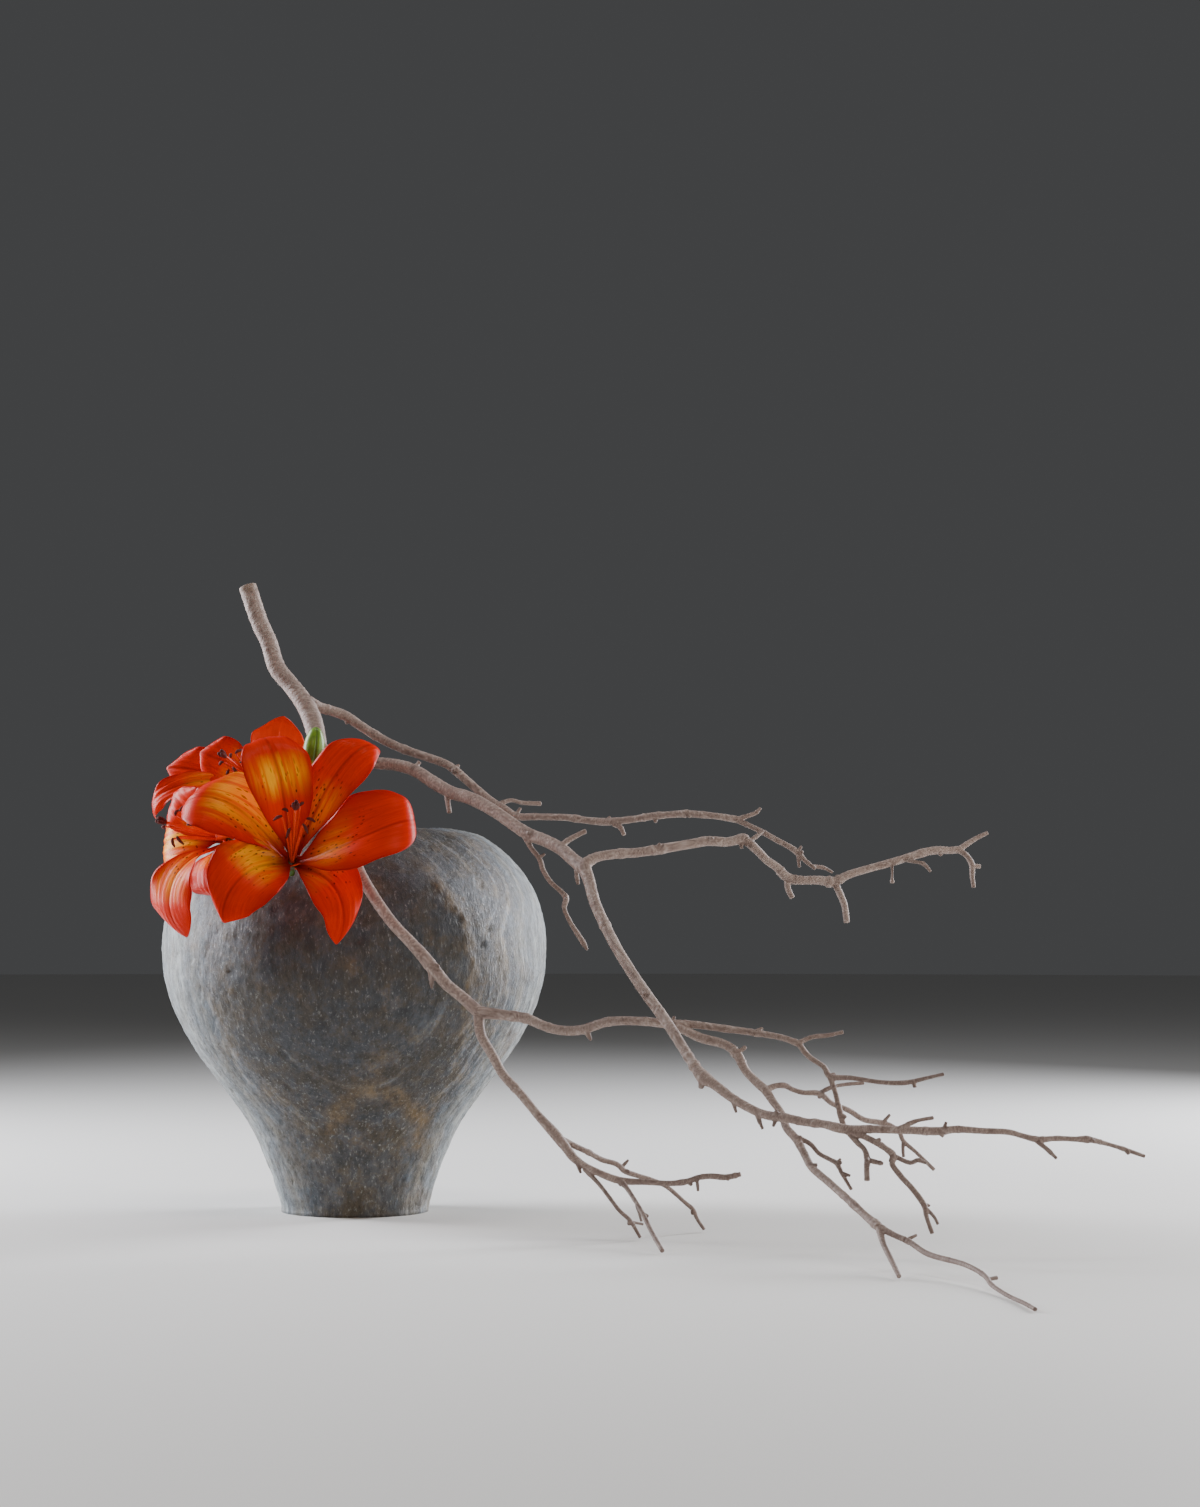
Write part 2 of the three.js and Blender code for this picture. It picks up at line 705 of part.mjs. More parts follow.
// A tepal leaves the receptacle at a narrow claw, widens past its middle and ends in a blunt point.
// It leans from the axis by lean at the claw and by curl at the tip, in degrees. It is channelled at
// the claw and rolls its edges back towards the tip, and sway turns it sideways as it goes. The
// larger its belly, the nearer to its tip it is widest.
function tepal(frame, shape) {
  const { turn, length, width, lean, curl, sway = 0, twist = 0, wave = 1.5 } = shape;
  const { cup = 0.2, roll = 0.16, late = 1.8, belly = 1.45, outer = false } = shape;
  const rows = [];
  const origin = { ...frame, base: new THREE.Vector3() };
  let along = outer ? 2.6 : 4.4;
  let away = outer ? 3.4 : 2.2;
  for (let row = 0; row <= TEPAL_ROWS; row++) {
    const t = row / TEPAL_ROWS;
    const bend = radians(lean + (curl - lean) * t ** late);
    const heading = radians(turn + sway * t * t);
    const middle = onBloom(frame, along, away, heading);
    const out = onBloom(origin, Math.cos(bend), Math.sin(bend), heading);
    const inward = onBloom(origin, Math.sin(bend), -Math.cos(bend), heading);
    const side = out.clone().cross(inward);
    side.applyAxisAngle(out, radians(twist * t));
    inward.applyAxisAngle(out, radians(twist * t));
    const swell = Math.sin(Math.PI * Math.min(t, 0.97) ** belly) ** 0.9;
    const half = (width / 2) * Math.max(swell, 0.1);
    const hollow = cup * (1 - t) - roll * t * t;
    const points = [];
    for (let column = -TEPAL_HALF_COLUMNS; column <= TEPAL_HALF_COLUMNS; column++) {
      const across = column / TEPAL_HALF_COLUMNS;
      const ripple = wave * Math.abs(across) ** 3 * Math.sin(9 * t + turn + 2 * across) * swell;
      const rise = 2 * half * hollow * across * across + ripple;
      points.push(middle.clone().addScaledVector(side, half * across).addScaledVector(inward, rise));
    }
    rows.push(points);
    away += (length / TEPAL_ROWS) * Math.sin(bend);
    along += (length / TEPAL_ROWS) * Math.cos(bend);
  }
  return solidOf(sheet(rows, TEPAL_THICKNESS));
}

// A round piece turned on a bloom's axis, from its profile of [radius, height above the base].
function turnedOnBloom(frame, profile, segments) {
  const points = profile.map(([radius, height]) => new THREE.Vector2(radius, height));
  const matrix = new THREE.Matrix4().makeBasis(frame.up, frame.axis, frame.right);
  matrix.setPosition(frame.base);
  return solidOf(new THREE.LatheGeometry(points, segments).applyMatrix4(matrix));
}

const receptacleProfile = [
  [0, 0],
  [3.4, 0],
  [5, 3],
  [4, 6],
  [0, 6],
];

// Six filaments stand round the style and its stigma, and each ends in a long anther that turns out.
function stamens(frame, { length, spread }) {
  const station = (along, away, heading, diameter) => [
    ...onBloom(frame, along, away, heading).toArray(),
    diameter,
  ];
  const style = [7, length + 8].map((along) => station(along, 0, 0, 2));
  const stigma = [length + 6, length + 9, length + 13].map((along) => station(along, 0, 0, 4));
  const ovary = [
    [0, 6 + GAP],
    [1.8, 6 + GAP],
    [1.8, 9],
    [0, 9.6],
  ];
  const pieces = [turnedOnBloom(frame, ovary, 6), limb(style, 4, 90), limb(stigma, 4, 6)];
  for (let index = 0; index < 6; index++) {
    const heading = radians(60 * index + 25);
    const reach = length * (index % 2 ? 0.9 : 0.98);
    const away = reach * Math.tan(radians(spread));
    const filament = [
      station(8.4, 1, heading, FILAMENT_DIAMETER),
      station(reach * 0.5, away * 0.4, heading, FILAMENT_DIAMETER),
      station(reach - 2, away - 1.2, heading, FILAMENT_DIAMETER),
      station(reach, away, heading, 2.8),
      station(reach - 1.5, away + 3, heading, 2.8),
      station(reach - 4.5, away + 5.5, heading, 1.4),
    ];
    pieces.push(limb(filament, 4, 90));
  }
  return fuse(pieces);
}

const blooms = {
  front: {
    base: [-34, -137, 241],
    lookout: [0.1, -0.83, 0.55],
    stamens: { length: 60, spread: 9 },
    tepals: [
      { turn: -16, length: 108, width: 45, lean: 20, curl: 165, late: 1.9, cup: 0.3 },
      { turn: 33, length: 110, width: 36, lean: 36, curl: 165, late: 3, sway: 10, outer: true },
      { turn: 106, length: 104, width: 60, lean: 44, curl: 165, late: 3.2, cup: 0.3, roll: 0.05,
        sway: -24, belly: 1.3 },
      { turn: 131, length: 77, width: 38, lean: 54, curl: 150, late: 1.5, outer: true, sway: 26,
        belly: 1.15 },
      { turn: 237, length: 82, width: 54, lean: 48, curl: 150, late: 1.7, sway: -17, belly: 1.15 },
      { turn: -54, length: 96, width: 54, lean: 44, curl: 170, late: 2, outer: true, sway: -12 },
    ],
  },
  left: {
    base: [-78, -88, 259],
    lookout: [-0.7, -0.68, 0.2],
    stamens: { length: 52, spread: 12 },
    tepals: [
      { turn: -6, length: 42, width: 28, lean: 24, curl: 90 },
      { turn: -54, length: 56, width: 34, lean: 36, curl: 130, outer: true },
      { turn: -96, length: 70, width: 46, lean: 46, curl: 165, late: 1.4 },
      { turn: 190, length: 94, width: 44, lean: 23, curl: 165, outer: true, late: 1.5, sway: -14,
        belly: 1.9 },
      { turn: 152, length: 55, width: 44, lean: 40, curl: 130 },
      { turn: 66, length: 58, width: 26, lean: 26, curl: 50, outer: true },
    ],
  },
  upper: {
    base: [-62, -34, 298],
    lookout: [-0.44, -0.8, 0.38],
    stamens: { length: 44, spread: 9 },
    tepals: [
      { turn: -70, length: 50, width: 36, lean: 24, curl: 120 },
      { turn: 4, length: 31, width: 24, lean: 30, curl: 80, outer: true },
      { turn: 90, length: 40, width: 24, lean: 26, curl: 40 },
      { turn: 160, length: 42, width: 22, lean: 34, curl: 44, outer: true },
      { turn: -108, length: 88, width: 19, lean: 36, curl: 150, late: 1.8, sway: -12 },
      { turn: -88, length: 68, width: 33, lean: 46, curl: 110, outer: true },
    ],
  },
  back: {
    base: [-40, -6, 295],
    lookout: [-0.46, 0.8, 0.38],
    stamens: { length: 46, spread: 7 },
    tepals: [
      { turn: -5, length: 68, width: 41, lean: 14, curl: 130, late: 2.6 },
      { turn: 60, length: 52, width: 28, lean: 26, curl: 100, outer: true },
      { turn: 120, length: 64, width: 32, lean: 14, curl: 80 },
      { turn: 180, length: 60, width: 28, lean: 26, curl: 70, outer: true },
      { turn: 240, length: 60, width: 32, lean: 14, curl: 70 },
      { turn: 300, length: 60, width: 28, lean: 26, curl: 90, outer: true },
    ],
  },
};

for (const [name, bloom] of Object.entries(blooms)) {
  const frame = bloomFrame(bloom.base, bloom.lookout);
  const receptacle = turnedOnBloom(frame, receptacleProfile, 8);
  const tepals = bloom.tepals.map((shape) => tepal(frame, shape));
  place(`${name}_tepals`, fuse([receptacle, ...tepals]), { color: 0xe8400f, roughness: 0.45 });
  place(`${name}_stamens`, stamens(frame, bloom.stamens), { color: 0xb4200c, roughness: 0.5 });
}

// The stem carries every bloom and the bud on a pedicel that stops just short of its receptacle.
const bud = { base: [-27, -51, 309], lookout: [0.11, -0.02, 1] };
const pedicelRoutes = {
  front: [[-41, -66, 297], [-36, -104, 281], [-34, -126, 255]],
  left: [[-52, -58, 287], [-66, -76, 272]],
  upper: [[-50, -37, 292]],
  back: [[-42, -28, 292]],
};

const pedicelDome = PEDICEL_DIAMETER * 0.29;

function pedicel(route, { base, lookout }, diameter) {
  const frame = bloomFrame(base, lookout);
  const approach = [-8, -GAP - pedicelDome].map((along) => onBloom(frame, along, 0, 0).toArray());
  return limb([stemTop, ...route, ...approach].map((at) => [...at, diameter]), 5, 14);
}

const pedicels = Object.entries(pedicelRoutes).map(([name, route]) =>
  pedicel(route, blooms[name], PEDICEL_DIAMETER),
);
const budPedicel = pedicel([], bud, 3.2);
place("lily_stem", fuse([limb(stem, 8, 40), budPedicel, ...pedicels]), {
  color: 0x5f8a2c,
  roughness: 0.55,
});

// The bud is closed, with the seams of its three outer tepals as shallow grooves.
const budProfile = [
  [0, 0],
  [3, 0],
  [6, 6],
  [7.2, 14],
  [6.6, 21],
  [3.6, 28],
  [0, 30],
];
place("lily_bud", turnedOnBloom(bloomFrame(bud.base, bud.lookout), budProfile, 12), {
  color: 0x7fa82a,
  roughness: 0.5,
});

export default arrangement;
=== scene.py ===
# An ikebana arrangement: a worked stone urn with water, one bare trailing branch, and a stem of
# open orange lilies with a bud. Metres here, with sizes named in millimetres and scaled once.
import math

import bpy
import numpy as np
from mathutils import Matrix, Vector, kdtree, noise


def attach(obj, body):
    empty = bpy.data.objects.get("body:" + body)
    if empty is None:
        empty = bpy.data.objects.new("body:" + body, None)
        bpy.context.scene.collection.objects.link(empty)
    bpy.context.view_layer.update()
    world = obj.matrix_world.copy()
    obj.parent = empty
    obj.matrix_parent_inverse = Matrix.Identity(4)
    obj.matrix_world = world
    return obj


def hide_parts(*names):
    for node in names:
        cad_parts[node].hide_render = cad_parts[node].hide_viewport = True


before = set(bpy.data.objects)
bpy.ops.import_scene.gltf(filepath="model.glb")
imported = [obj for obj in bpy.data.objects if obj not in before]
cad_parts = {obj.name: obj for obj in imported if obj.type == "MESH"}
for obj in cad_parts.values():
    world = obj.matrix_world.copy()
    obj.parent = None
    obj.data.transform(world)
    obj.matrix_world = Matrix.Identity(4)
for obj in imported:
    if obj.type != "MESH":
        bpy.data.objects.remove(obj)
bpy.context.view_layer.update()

MM = 0.001


def linear(hex_colour):
    """An sRGB hex colour as the linear colour that the shaders want."""
    parts = [int(hex_colour[index : index + 2], 16) / 255 for index in (1, 3, 5)]
    return [*(p / 12.92 if p <= 0.04045 else ((p + 0.055) / 1.055) ** 2.4 for p in parts), 1.0]


CAMERA_AT = (118.9, -2110, 207)
EYE_PIXEL = (523, 918)
FOCAL_PIXELS = 2982
PHOTO_PIXELS = (1200, 1507)
SENSOR_WIDTH = 36
camera_data = bpy.data.cameras.new("camera")
camera_data.sensor_width = SENSOR_WIDTH
camera_data.lens = SENSOR_WIDTH * FOCAL_PIXELS / PHOTO_PIXELS[1]
camera_data.shift_x = (PHOTO_PIXELS[0] / 2 - EYE_PIXEL[0]) / PHOTO_PIXELS[1]
camera_data.shift_y = (EYE_PIXEL[1] - PHOTO_PIXELS[1] / 2) / PHOTO_PIXELS[1]
camera = bpy.data.objects.new("camera", camera_data)
camera.location = Vector(CAMERA_AT) * MM
camera.rotation_euler = (math.pi / 2, 0, 0)
bpy.context.collection.objects.link(camera)
bpy.context.scene.camera = camera


def add(tree, kind, links=(), **settings):
    """Adds a node with its settings, and feeds its inputs: each link is (input, output or value)."""
    node = tree.nodes.new(kind)
    for name, value in settings.items():
        setattr(node, name, value)
    for name, source in links:
        socket = node.inputs[name]
        if isinstance(source, bpy.types.NodeSocket):
            tree.links.new(source, socket)
        else:
            socket.default_value = source
    return node


def new_material(name, **sockets):
    """An empty Principled material, with these values on the shader's own sockets."""
    material = bpy.data.materials.new(name)
    material.use_nodes = True
    shader = material.node_tree.nodes["Principled BSDF"]
    for socket, value in sockets.items():
        shader.inputs[socket.replace("_", " ")].default_value = value
    return material, material.node_tree, shader


def new_object(name, points, faces, material):
    """A smooth mesh object from points in millimetres, with its material."""
    mesh = bpy.data.meshes.new(name)
    mesh.from_pydata((np.asarray(points) * MM).tolist(), [], faces)
    mesh.materials.append(material)
    mesh.shade_smooth()
    piece = bpy.data.objects.new(name, mesh)
    bpy.context.collection.objects.link(piece)
    return piece


def ring_turns(count):
    """The turn of each of this many points round a ring."""
    return np.linspace(0, 2 * math.pi, count, endpoint=False)


FLOOR_RADIUS = 9000
FLOOR_SIDES = 64
WORLD_STRENGTH = 0.085
painted_floor, _, _ = new_material("pale_painted_floor", Base_Color=linear("#E4E2DE"), Roughness=0.6)
rim = [
    (FLOOR_RADIUS * math.cos(turn), FLOOR_RADIUS * math.sin(turn), 0) for turn in ring_turns(FLOOR_SIDES)
]
floor = new_object("floor", rim, [list(range(FLOOR_SIDES))], painted_floor)

world = bpy.data.worlds.new("studio")
world.use_nodes = True
background = world.node_tree.nodes["Background"]
background.inputs["Color"].default_value = linear("#DADCDF")
background.inputs["Strength"].default_value = WORLD_STRENGTH
bpy.context.scene.world = world

# each light: its name, place, aim, width and height, watts and colour
LIGHTS = (
    ("left_strip", (-1250, 560, 740), (0, 0, 200), (460, 1240), 60, "#F4F7FF"),
    ("right_strip", (1500, 980, 680), (120, -60, 180), (420, 1200), 58, "#F4F7FF"),
    ("right_card", (1500, -450, 560), (0, -100, 220), (500, 800), 11, "#FFF8F0"),
    ("front_fill", (-700, -2300, 1300), (60, -100, 200), (1500, 1000), 11, "#FFF4E8"),
    ("top_light", (150, -250, 1700), (150, -150, 200), (900, 500), 8, "#FFFFFF"),
)
for name, at, aim, (width, height), watts, colour in LIGHTS:
    light = bpy.data.lights.new(name, "AREA")
    light.shape = "RECTANGLE"
    light.size, light.size_y = width * MM, height * MM
    light.energy = watts
    light.color = linear(colour)[:3]
    lamp = bpy.data.objects.new(name, light)
    lamp.location = Vector(at) * MM
    lamp.rotation_euler = (Vector(aim) - Vector(at)).to_track_quat("-Z", "Y").to_euler()
    bpy.context.collection.objects.link(lamp)

# ---- The vase ---------------------------------------------------------------------------------
# A round urn cut from a bedded grey stone and worked by hand, so its skin is finely pitted. The
# beds stand nearly upright across the view: their edges show as streaks that follow the outline.
# The stone's colour also carries painted light and shade: its front and top shoulder are painted darker
# and its flanks and back paler, and it has painted glints and painted shade in its pits.
OUTSIDE = [
    (52, 0), (57.5, 20), (67.5, 46), (76, 63), (88, 80), (101, 97), (113, 114), (122.5, 131),
    (130, 148), (134.7, 165), (136, 182), (135.9, 195), (134.2, 208), (129, 224), (118.5, 241),
    (102, 258), (89.5, 266), (76, 269.4), (70, 270), (60, 268), (52, 262), (48, 254),
]
INSIDE = [
    (52, 246), (68, 244), (92, 246), (106, 238), (119, 220), (126, 200), (126, 180), (120, 148),
    (103, 114), (74, 74), (50, 32), (36, 14),
]
VASE_SEGMENTS = 420
OUTSIDE_STEP, INSIDE_STEP = 2.2, 6
WELL_HEIGHT = 14
BED_LEAN = 0.24
BED_LEAN_TOP = 195
# how fast the painted shade darkens the top shoulder above BED_LEAN_TOP
SHOULDER_SHADE_RISE = 0.55
BED_TURN = 0.09
BED_THICKNESS, BED_LENGTH = 7, 60
# waves and grains of the stone: height, width, octaves and seed
BED_WAVE, BED_RIPPLE = (6, 42, 3, 0.0), (1.6, 9, 2, 5.0)
SWELL, BED_STEP = (0.5, 38, 2, 3.0), (0.3, 1, 3, 0.0)
SEAM_WANDER, SEAM_PATCHES = (3.5, 15, 3, 21.0), (0.6, 6, 2, 33.0)
CHISEL_DEPTH, CHISEL_DEPTH_EDGE_ON, CHISEL_GRAIN, CHISEL_DRAW = 0.22, 0.2, 3.2, (1, 1, 0.45)
PIT_DEPTH, PIT_GRAIN, PIT_LEVEL = 2.4, 7, 0.42
SKIN_SUNK = 1.0
FOOT_FADE = 4
# the seams, as arcs on the front: centre (x, z), reach, half width, and the degrees of both ends
OCHRE_ARCH = ((18, 58), 31, 6, -35, 220)
OCHRE_RIDGE = ((-10, 170), 96, 3, -30, 56)
BROWN_SEAM = ((-122, -2), 231, 4, 36, 74)
SEAM_FADE = 14
RIDGE_HEIGHT, BROWN_DEPTH = 0.5, 0.4
ARCH_COLOUR, RIDGE_COLOUR, BROWN_COLOUR = 0.6, 0.5, 0.55


def smooth_path(stations, step):
    """Rows about a step apart along a smooth centripetal curve through the stations."""
    rows = np.asarray(stations, float)
    rows = np.vstack([2 * rows[0] - rows[1], rows, 2 * rows[-1] - rows[-2]])
    path = []
    for before, start, end, after in zip(rows, rows[1:], rows[2:], rows[3:]):
        legs = ((before, start), (start, end), (end, after))
        gap, span, gap_after = (np.linalg.norm((b - a)[:3]) ** 0.5 for a, b in legs)
        leave = (start - before) / gap - (end - before) / (gap + span) + (end - start) / span
        arrive = (end - start) / span - (after - start) / (span + gap_after) + (after - end) / gap_after
        count = max(1, round(float(np.linalg.norm((end - start)[:3])) / step))
        for t in np.arange(count) / count:
            path.append(
                (2 * t**3 - 3 * t**2 + 1) * start
                + (t**3 - 2 * t**2 + t) * span * leave
                + (3 * t**2 - 2 * t**3) * end
                + (t**3 - t**2) * span * arrive
            )
    path.append(rows[-2])
    return np.array(path)


def directions(path):
    """The way on, one unit long, at each point of a path."""
    steps = np.gradient(path, axis=0)
    return steps / np.linalg.norm(steps, axis=1)[:, None]


def ring_faces(rings, sides, start, end):
    """Quads between rings of points, and a fan to the point at each end."""
    faces = []
    last = (rings - 1) * sides
    for near in range(0, last, sides):
        for side in range(sides):
            beside, far = (side + 1) % sides, near + sides
            faces.append((near + side, near + beside, far + beside, far + side))
    for side in range(sides):
        beside = (side + 1) % sides
        faces += [(start, beside, side), (end, last + side, last + beside)]
    return faces


def rough(points, grain, octaves, seed):
    """Smooth noise of about this grain, in millimetres, at each point: roughly -1 to 1."""
    shift = Vector((seed, 2 * seed, 3 * seed))
    return np.array([noise.fractal(Vector(p) / grain + shift, 1.0, 2.0, octaves) for p in points])


def waves(points, kind):
    """Rough waves of this height, grain, octaves and seed."""
    height, grain, octaves, seed = kind
    return height * rough(points, grain, octaves, seed)


def paint(piece, name, values):
    """Stores one number for each vertex, for the material to read."""
    piece.data.attributes.new(name, "FLOAT", "POINT").data.foreach_set("value", values)


def turned_rings(profile, segments):
    """Rings of points round the upright axis, for a profile of (radius, height)."""
    turns = ring_turns(segments)
    radius, height = profile[:, :1], profile[:, 1:]
    rings = (radius * np.cos(turns), radius * np.sin(turns), height + 0 * turns)
    return np.stack(rings, axis=-1).reshape(-1, 3)


def arc_seam(centre, reach, half_width, low, high):
    """How far each point of the vase's front lies in a seam along an arc: 1 in it, 0 away from it.

    The arc has its centre (x, z) and reach in millimetres and runs from low to high degrees.
    """
    level, rise = vase_points[:, 0] - centre[0], vase_points[:, 2] - centre[1]
    off_arc = np.hypot(level, rise) - reach + waves(vase_points, SEAM_WANDER)
    turn = np.degrees(np.arctan2(rise, level))
    ends = np.clip((turn - low) / SEAM_FADE, 0, 1) * np.clip((high - turn) / SEAM_FADE, 0, 1)
    patchy = np.clip(0.75 + waves(vase_points, SEAM_PATCHES), 0, 1)
    return np.exp(-((off_arc / half_width) ** 2)) * ends * patchy * (vase_points[:, 1] < 0)


def painted(tree, name):
    """What paint stored under this name."""
    return add(tree, "ShaderNodeAttribute", attribute_name=name).outputs["Fac"]


def own_place(tree):
    """Each point's place on the object, in millimetres."""
    place = add(tree, "ShaderNodeTexCoord").outputs["Object"]
    return add(tree, "ShaderNodeVectorMath", [(0, place), ("Scale", 1000)], operation="SCALE").outputs[0]


def cloudy(tree, place, scale, detail, roughness=0.5):
    """Noise of 0 to 1, mostly near 0.5, with its largest patches about 1 / scale across."""
    links = [("Vector", place), ("Scale", scale), ("Detail", detail), ("Roughness", roughness)]
    return add(tree, "ShaderNodeTexNoise", links).outputs[0]


def remap(tree, value, start, end, low=0.0, high=1.0):
    """Goes from low, where the value is start, to high, where it is end, and no further."""
    links = [(0, value), (1, start), (2, end), (3, low), (4, high)]
    return add(tree, "ShaderNodeMapRange", links).outputs[0]


def calc(tree, operation, *values, **settings):
    """A sum of this kind of the values."""
    return add(tree, "ShaderNodeMath", enumerate(values), operation=operation, **settings).outputs[0]


def times(tree, value, factor):
    return calc(tree, "MULTIPLY", value, factor)


def packed(tree, *values):
    """Three numbers as one place for a pattern."""
    return add(tree, "ShaderNodeCombineXYZ", enumerate(values)).outputs[0]


def blend(tree, share, under, over, how="MIX"):
    """One colour over another by this share. Each is a hex colour or a node's output."""
    under, over = (linear(colour) if isinstance(colour, str) else colour for colour in (under, over))
    links = [(0, share), (6, under), (7, over)]
    return add(tree, "ShaderNodeMix", links, data_type="RGBA", blend_type=how).outputs[2]


def colour_steps(tree, value, steps):
    """The colour at this value, along steps of (position, hex colour)."""
    ramp = add(tree, "ShaderNodeValToRGB", [(0, value)])
    stops = ramp.color_ramp.elements
    for stop, (position, colour) in zip(stops, (steps[0], steps[-1])):
        stop.position, stop.color = position, linear(colour)
    for position, colour in steps[1:-1]:
        stops.new(position).color = linear(colour)
    return ramp.outputs[0]


def raised(tree, height, strength, distance, *links):
    """The surface's direction as this height bends it, over a distance in metres."""
    links = [("Strength", strength), ("Distance", distance), ("Height", height), *links]
    return add(tree, "ShaderNodeBump", links).outputs[0]


def wire(tree, shader, **sources):
    """Feeds the shader's sockets of these names."""
    for socket, source in sources.items():
        tree.links.new(source, shader.inputs[socket.replace("_", " ")])


def worked_stone():
    """Bedded slate, chiselled and rubbed: dull grey layers and rusty seams, with painted shade on its
    front, top shoulder and pits, painted light on its flanks, and painted glints.
    """
    material, tree, shader = new_material("worked_bedded_stone", IOR=1.5)
    mm = own_place(tree)
    bed_and_shade = painted(tree, "bedding_and_shade")
    edge_on = painted(tree, "edge_on")
    split = add(tree, "ShaderNodeSeparateXYZ", [(0, mm)]).outputs

    # streaks: quick across the beds, one every 3 to 9 mm, and slow along them
    quick, slow = 0.22, 0.012
    across = times(tree, bed_and_shade, quick)
    side = times(tree, split[0], slow)
    tall = times(tree, split[2], slow)
    strata = packed(tree, across, side, tall)
    streak = cloudy(tree, strata, 1, 7, 0.62)
    shown = remap(tree, edge_on, 0.2, 0.62, 0.12, 1.0)
    streak = add(tree, "ShaderNodeMix", [(0, shown), (2, 0.5), (3, streak)]).outputs[0]
    blotch = cloudy(tree, mm, 0.03, 4, 0.6)

    # the beds' colours with painted light and shade: pale back and flanks as if lit from the sides, and
    # a darker front and top shoulder as painted shade
    wander = calc(tree, "MULTIPLY_ADD", streak, 26, bed_and_shade)
    depth = remap(tree, wander, 0, 110)
    bed_and_shade_colours = (
        (0.0, "#7E8486"), (0.22, "#8A9090"), (0.34, "#6C747A"), (0.42, "#74756F"), (0.5, "#4E5860"),
        (0.57, "#5C564F"), (0.61, "#4C4538"), (0.64, "#47433E"), (0.72, "#3F3D3A"), (1.0, "#383634"),
    )
    beds_with_painted_shade = colour_steps(tree, depth, bed_and_shade_colours)

    # fine pale and dark streaks over them
    pale = times(tree, remap(tree, streak, 0.51, 0.62), 0.5)
    pale_streaked = blend(tree, pale, beds_with_painted_shade, "#A3A9A8")
    dark = remap(tree, streak, 0.47, 0.36, 0.0, 0.6)
    pale_streaked = blend(tree, dark, pale_streaked, "#43484B")
    rust = times(tree, remap(tree, blotch, 0.56, 0.72), 0.55)
    stained = blend(tree, rust, pale_streaked, "#6A5230")

    ochre = painted(tree, "ochre_seam")
    brown = painted(tree, "brown_seam")

    # a bluish or a brownish tinge, in patches about 15 mm across
    drift = cloudy(tree, mm, 0.065, 7, 0.75)
    warm = remap(tree, drift, 0.42, 0.58)
    tinge = blend(tree, warm, "#6B7A8E", "#8A7454")
    tinged = remap(tree, depth, 0.36, 0.66, 0.14, 0.62)
    stained = blend(tree, tinged, stained, tinge, "COLOR")

    # the ochre seams, and the dark brown one
    stained = blend(tree, ochre, stained, "#7E6438")
    stained = blend(tree, brown, stained, "#3A3024")

    # clouds of darker and lighter grain, painted glints as pale chisel flecks 1 to 3 mm long drawn
    # down the side, and painted shade in the pits
    links = [(0, mm), (1, (1.0, 1.0, 0.4))]
    drawn = add(tree, "ShaderNodeVectorMath", links, operation="MULTIPLY").outputs[0]
    cloud = remap(tree, cloudy(tree, drawn, 0.16, 6, 0.72), 0.36, 0.64, 0.52, 1.5)
    stained = blend(tree, 1.0, stained, cloud, "MULTIPLY")
    fleck = cloudy(tree, drawn, 0.55, 5, 0.75)
    # painted highlights: pale glints on the flecks, strongest in a band across the beds
    glint = remap(tree, fleck, 0.57, 0.68)
    glint_band = remap(tree, depth, 0.45, 0.58, 0.4, 0.9)
    faded = remap(tree, depth, 0.66, 0.78, 1.0, 0.55)
    glint_band = times(tree, glint_band, faded)
    glint = times(tree, glint, glint_band)
    with_painted_glints = blend(tree, glint, stained, "#9A9C98")
    # painted shade: the low parts of the fleck pattern, the pits, darkened as if in shadow
    hollow = times(tree, remap(tree, fleck, 0.44, 0.33), 0.7)
    with_pit_shade = blend(tree, hollow, with_painted_glints, "#2A2825")

    polish = remap(tree, fleck, 0.3, 0.7, 0.62, 0.36)
    chiselled = raised(tree, fleck, 1.0, 0.0011)
    layered = raised(tree, streak, 0.6, 0.0006, ("Normal", chiselled))
    wire(tree, shader, Base_Color=with_pit_shade, Roughness=polish, Normal=layered)
    return material


outer_path = smooth_path(OUTSIDE, OUTSIDE_STEP)
vase_path = np.vstack([outer_path, smooth_path(INSIDE, INSIDE_STEP)])
slope = directions(vase_path)
vase_points = turned_rings(vase_path, VASE_SEGMENTS)
outward = turned_rings(np.column_stack([slope[:, 1], -slope[:, 0]]), VASE_SEGMENTS)
wide, deep, tall = vase_points.T
# the depth across the beds; it also sets the painted shade, darker on the front and paler on the flanks
# and back, and above BED_LEAN_TOP it paints the top shoulder darker
bedding_and_shade = BED_TURN * wide - deep - BED_LEAN * np.minimum(tall, BED_LEAN_TOP)
bedding_and_shade += SHOULDER_SHADE_RISE * np.maximum(tall - BED_LEAN_TOP, 0)
edge_on = 1 - np.abs(outward[:, 1]) ** 1.5
bedding_and_shade += edge_on * (waves(vase_points, BED_WAVE) + waves(vase_points, BED_RIPPLE))
layered = np.column_stack([bedding_and_shade / BED_THICKNESS, wide / BED_LENGTH, tall / BED_LENGTH])
relief = waves(vase_points, SWELL) + edge_on * waves(layered, BED_STEP)
chisel_depth = CHISEL_DEPTH + CHISEL_DEPTH_EDGE_ON * edge_on
relief += chisel_depth * rough(vase_points * CHISEL_DRAW, CHISEL_GRAIN, 3, 9.0)
relief -= PIT_DEPTH * np.clip(rough(vase_points, PIT_GRAIN, 2, 17.0) - PIT_LEVEL, 0, 1)
arch, ridge, brown_seam = (arc_seam(*arc) for arc in (OCHRE_ARCH, OCHRE_RIDGE, BROWN_SEAM))
relief += RIDGE_HEIGHT * ridge - BROWN_DEPTH * brown_seam
on_outside = np.repeat(np.arange(len(vase_path)) < len(outer_path), VASE_SEGMENTS)
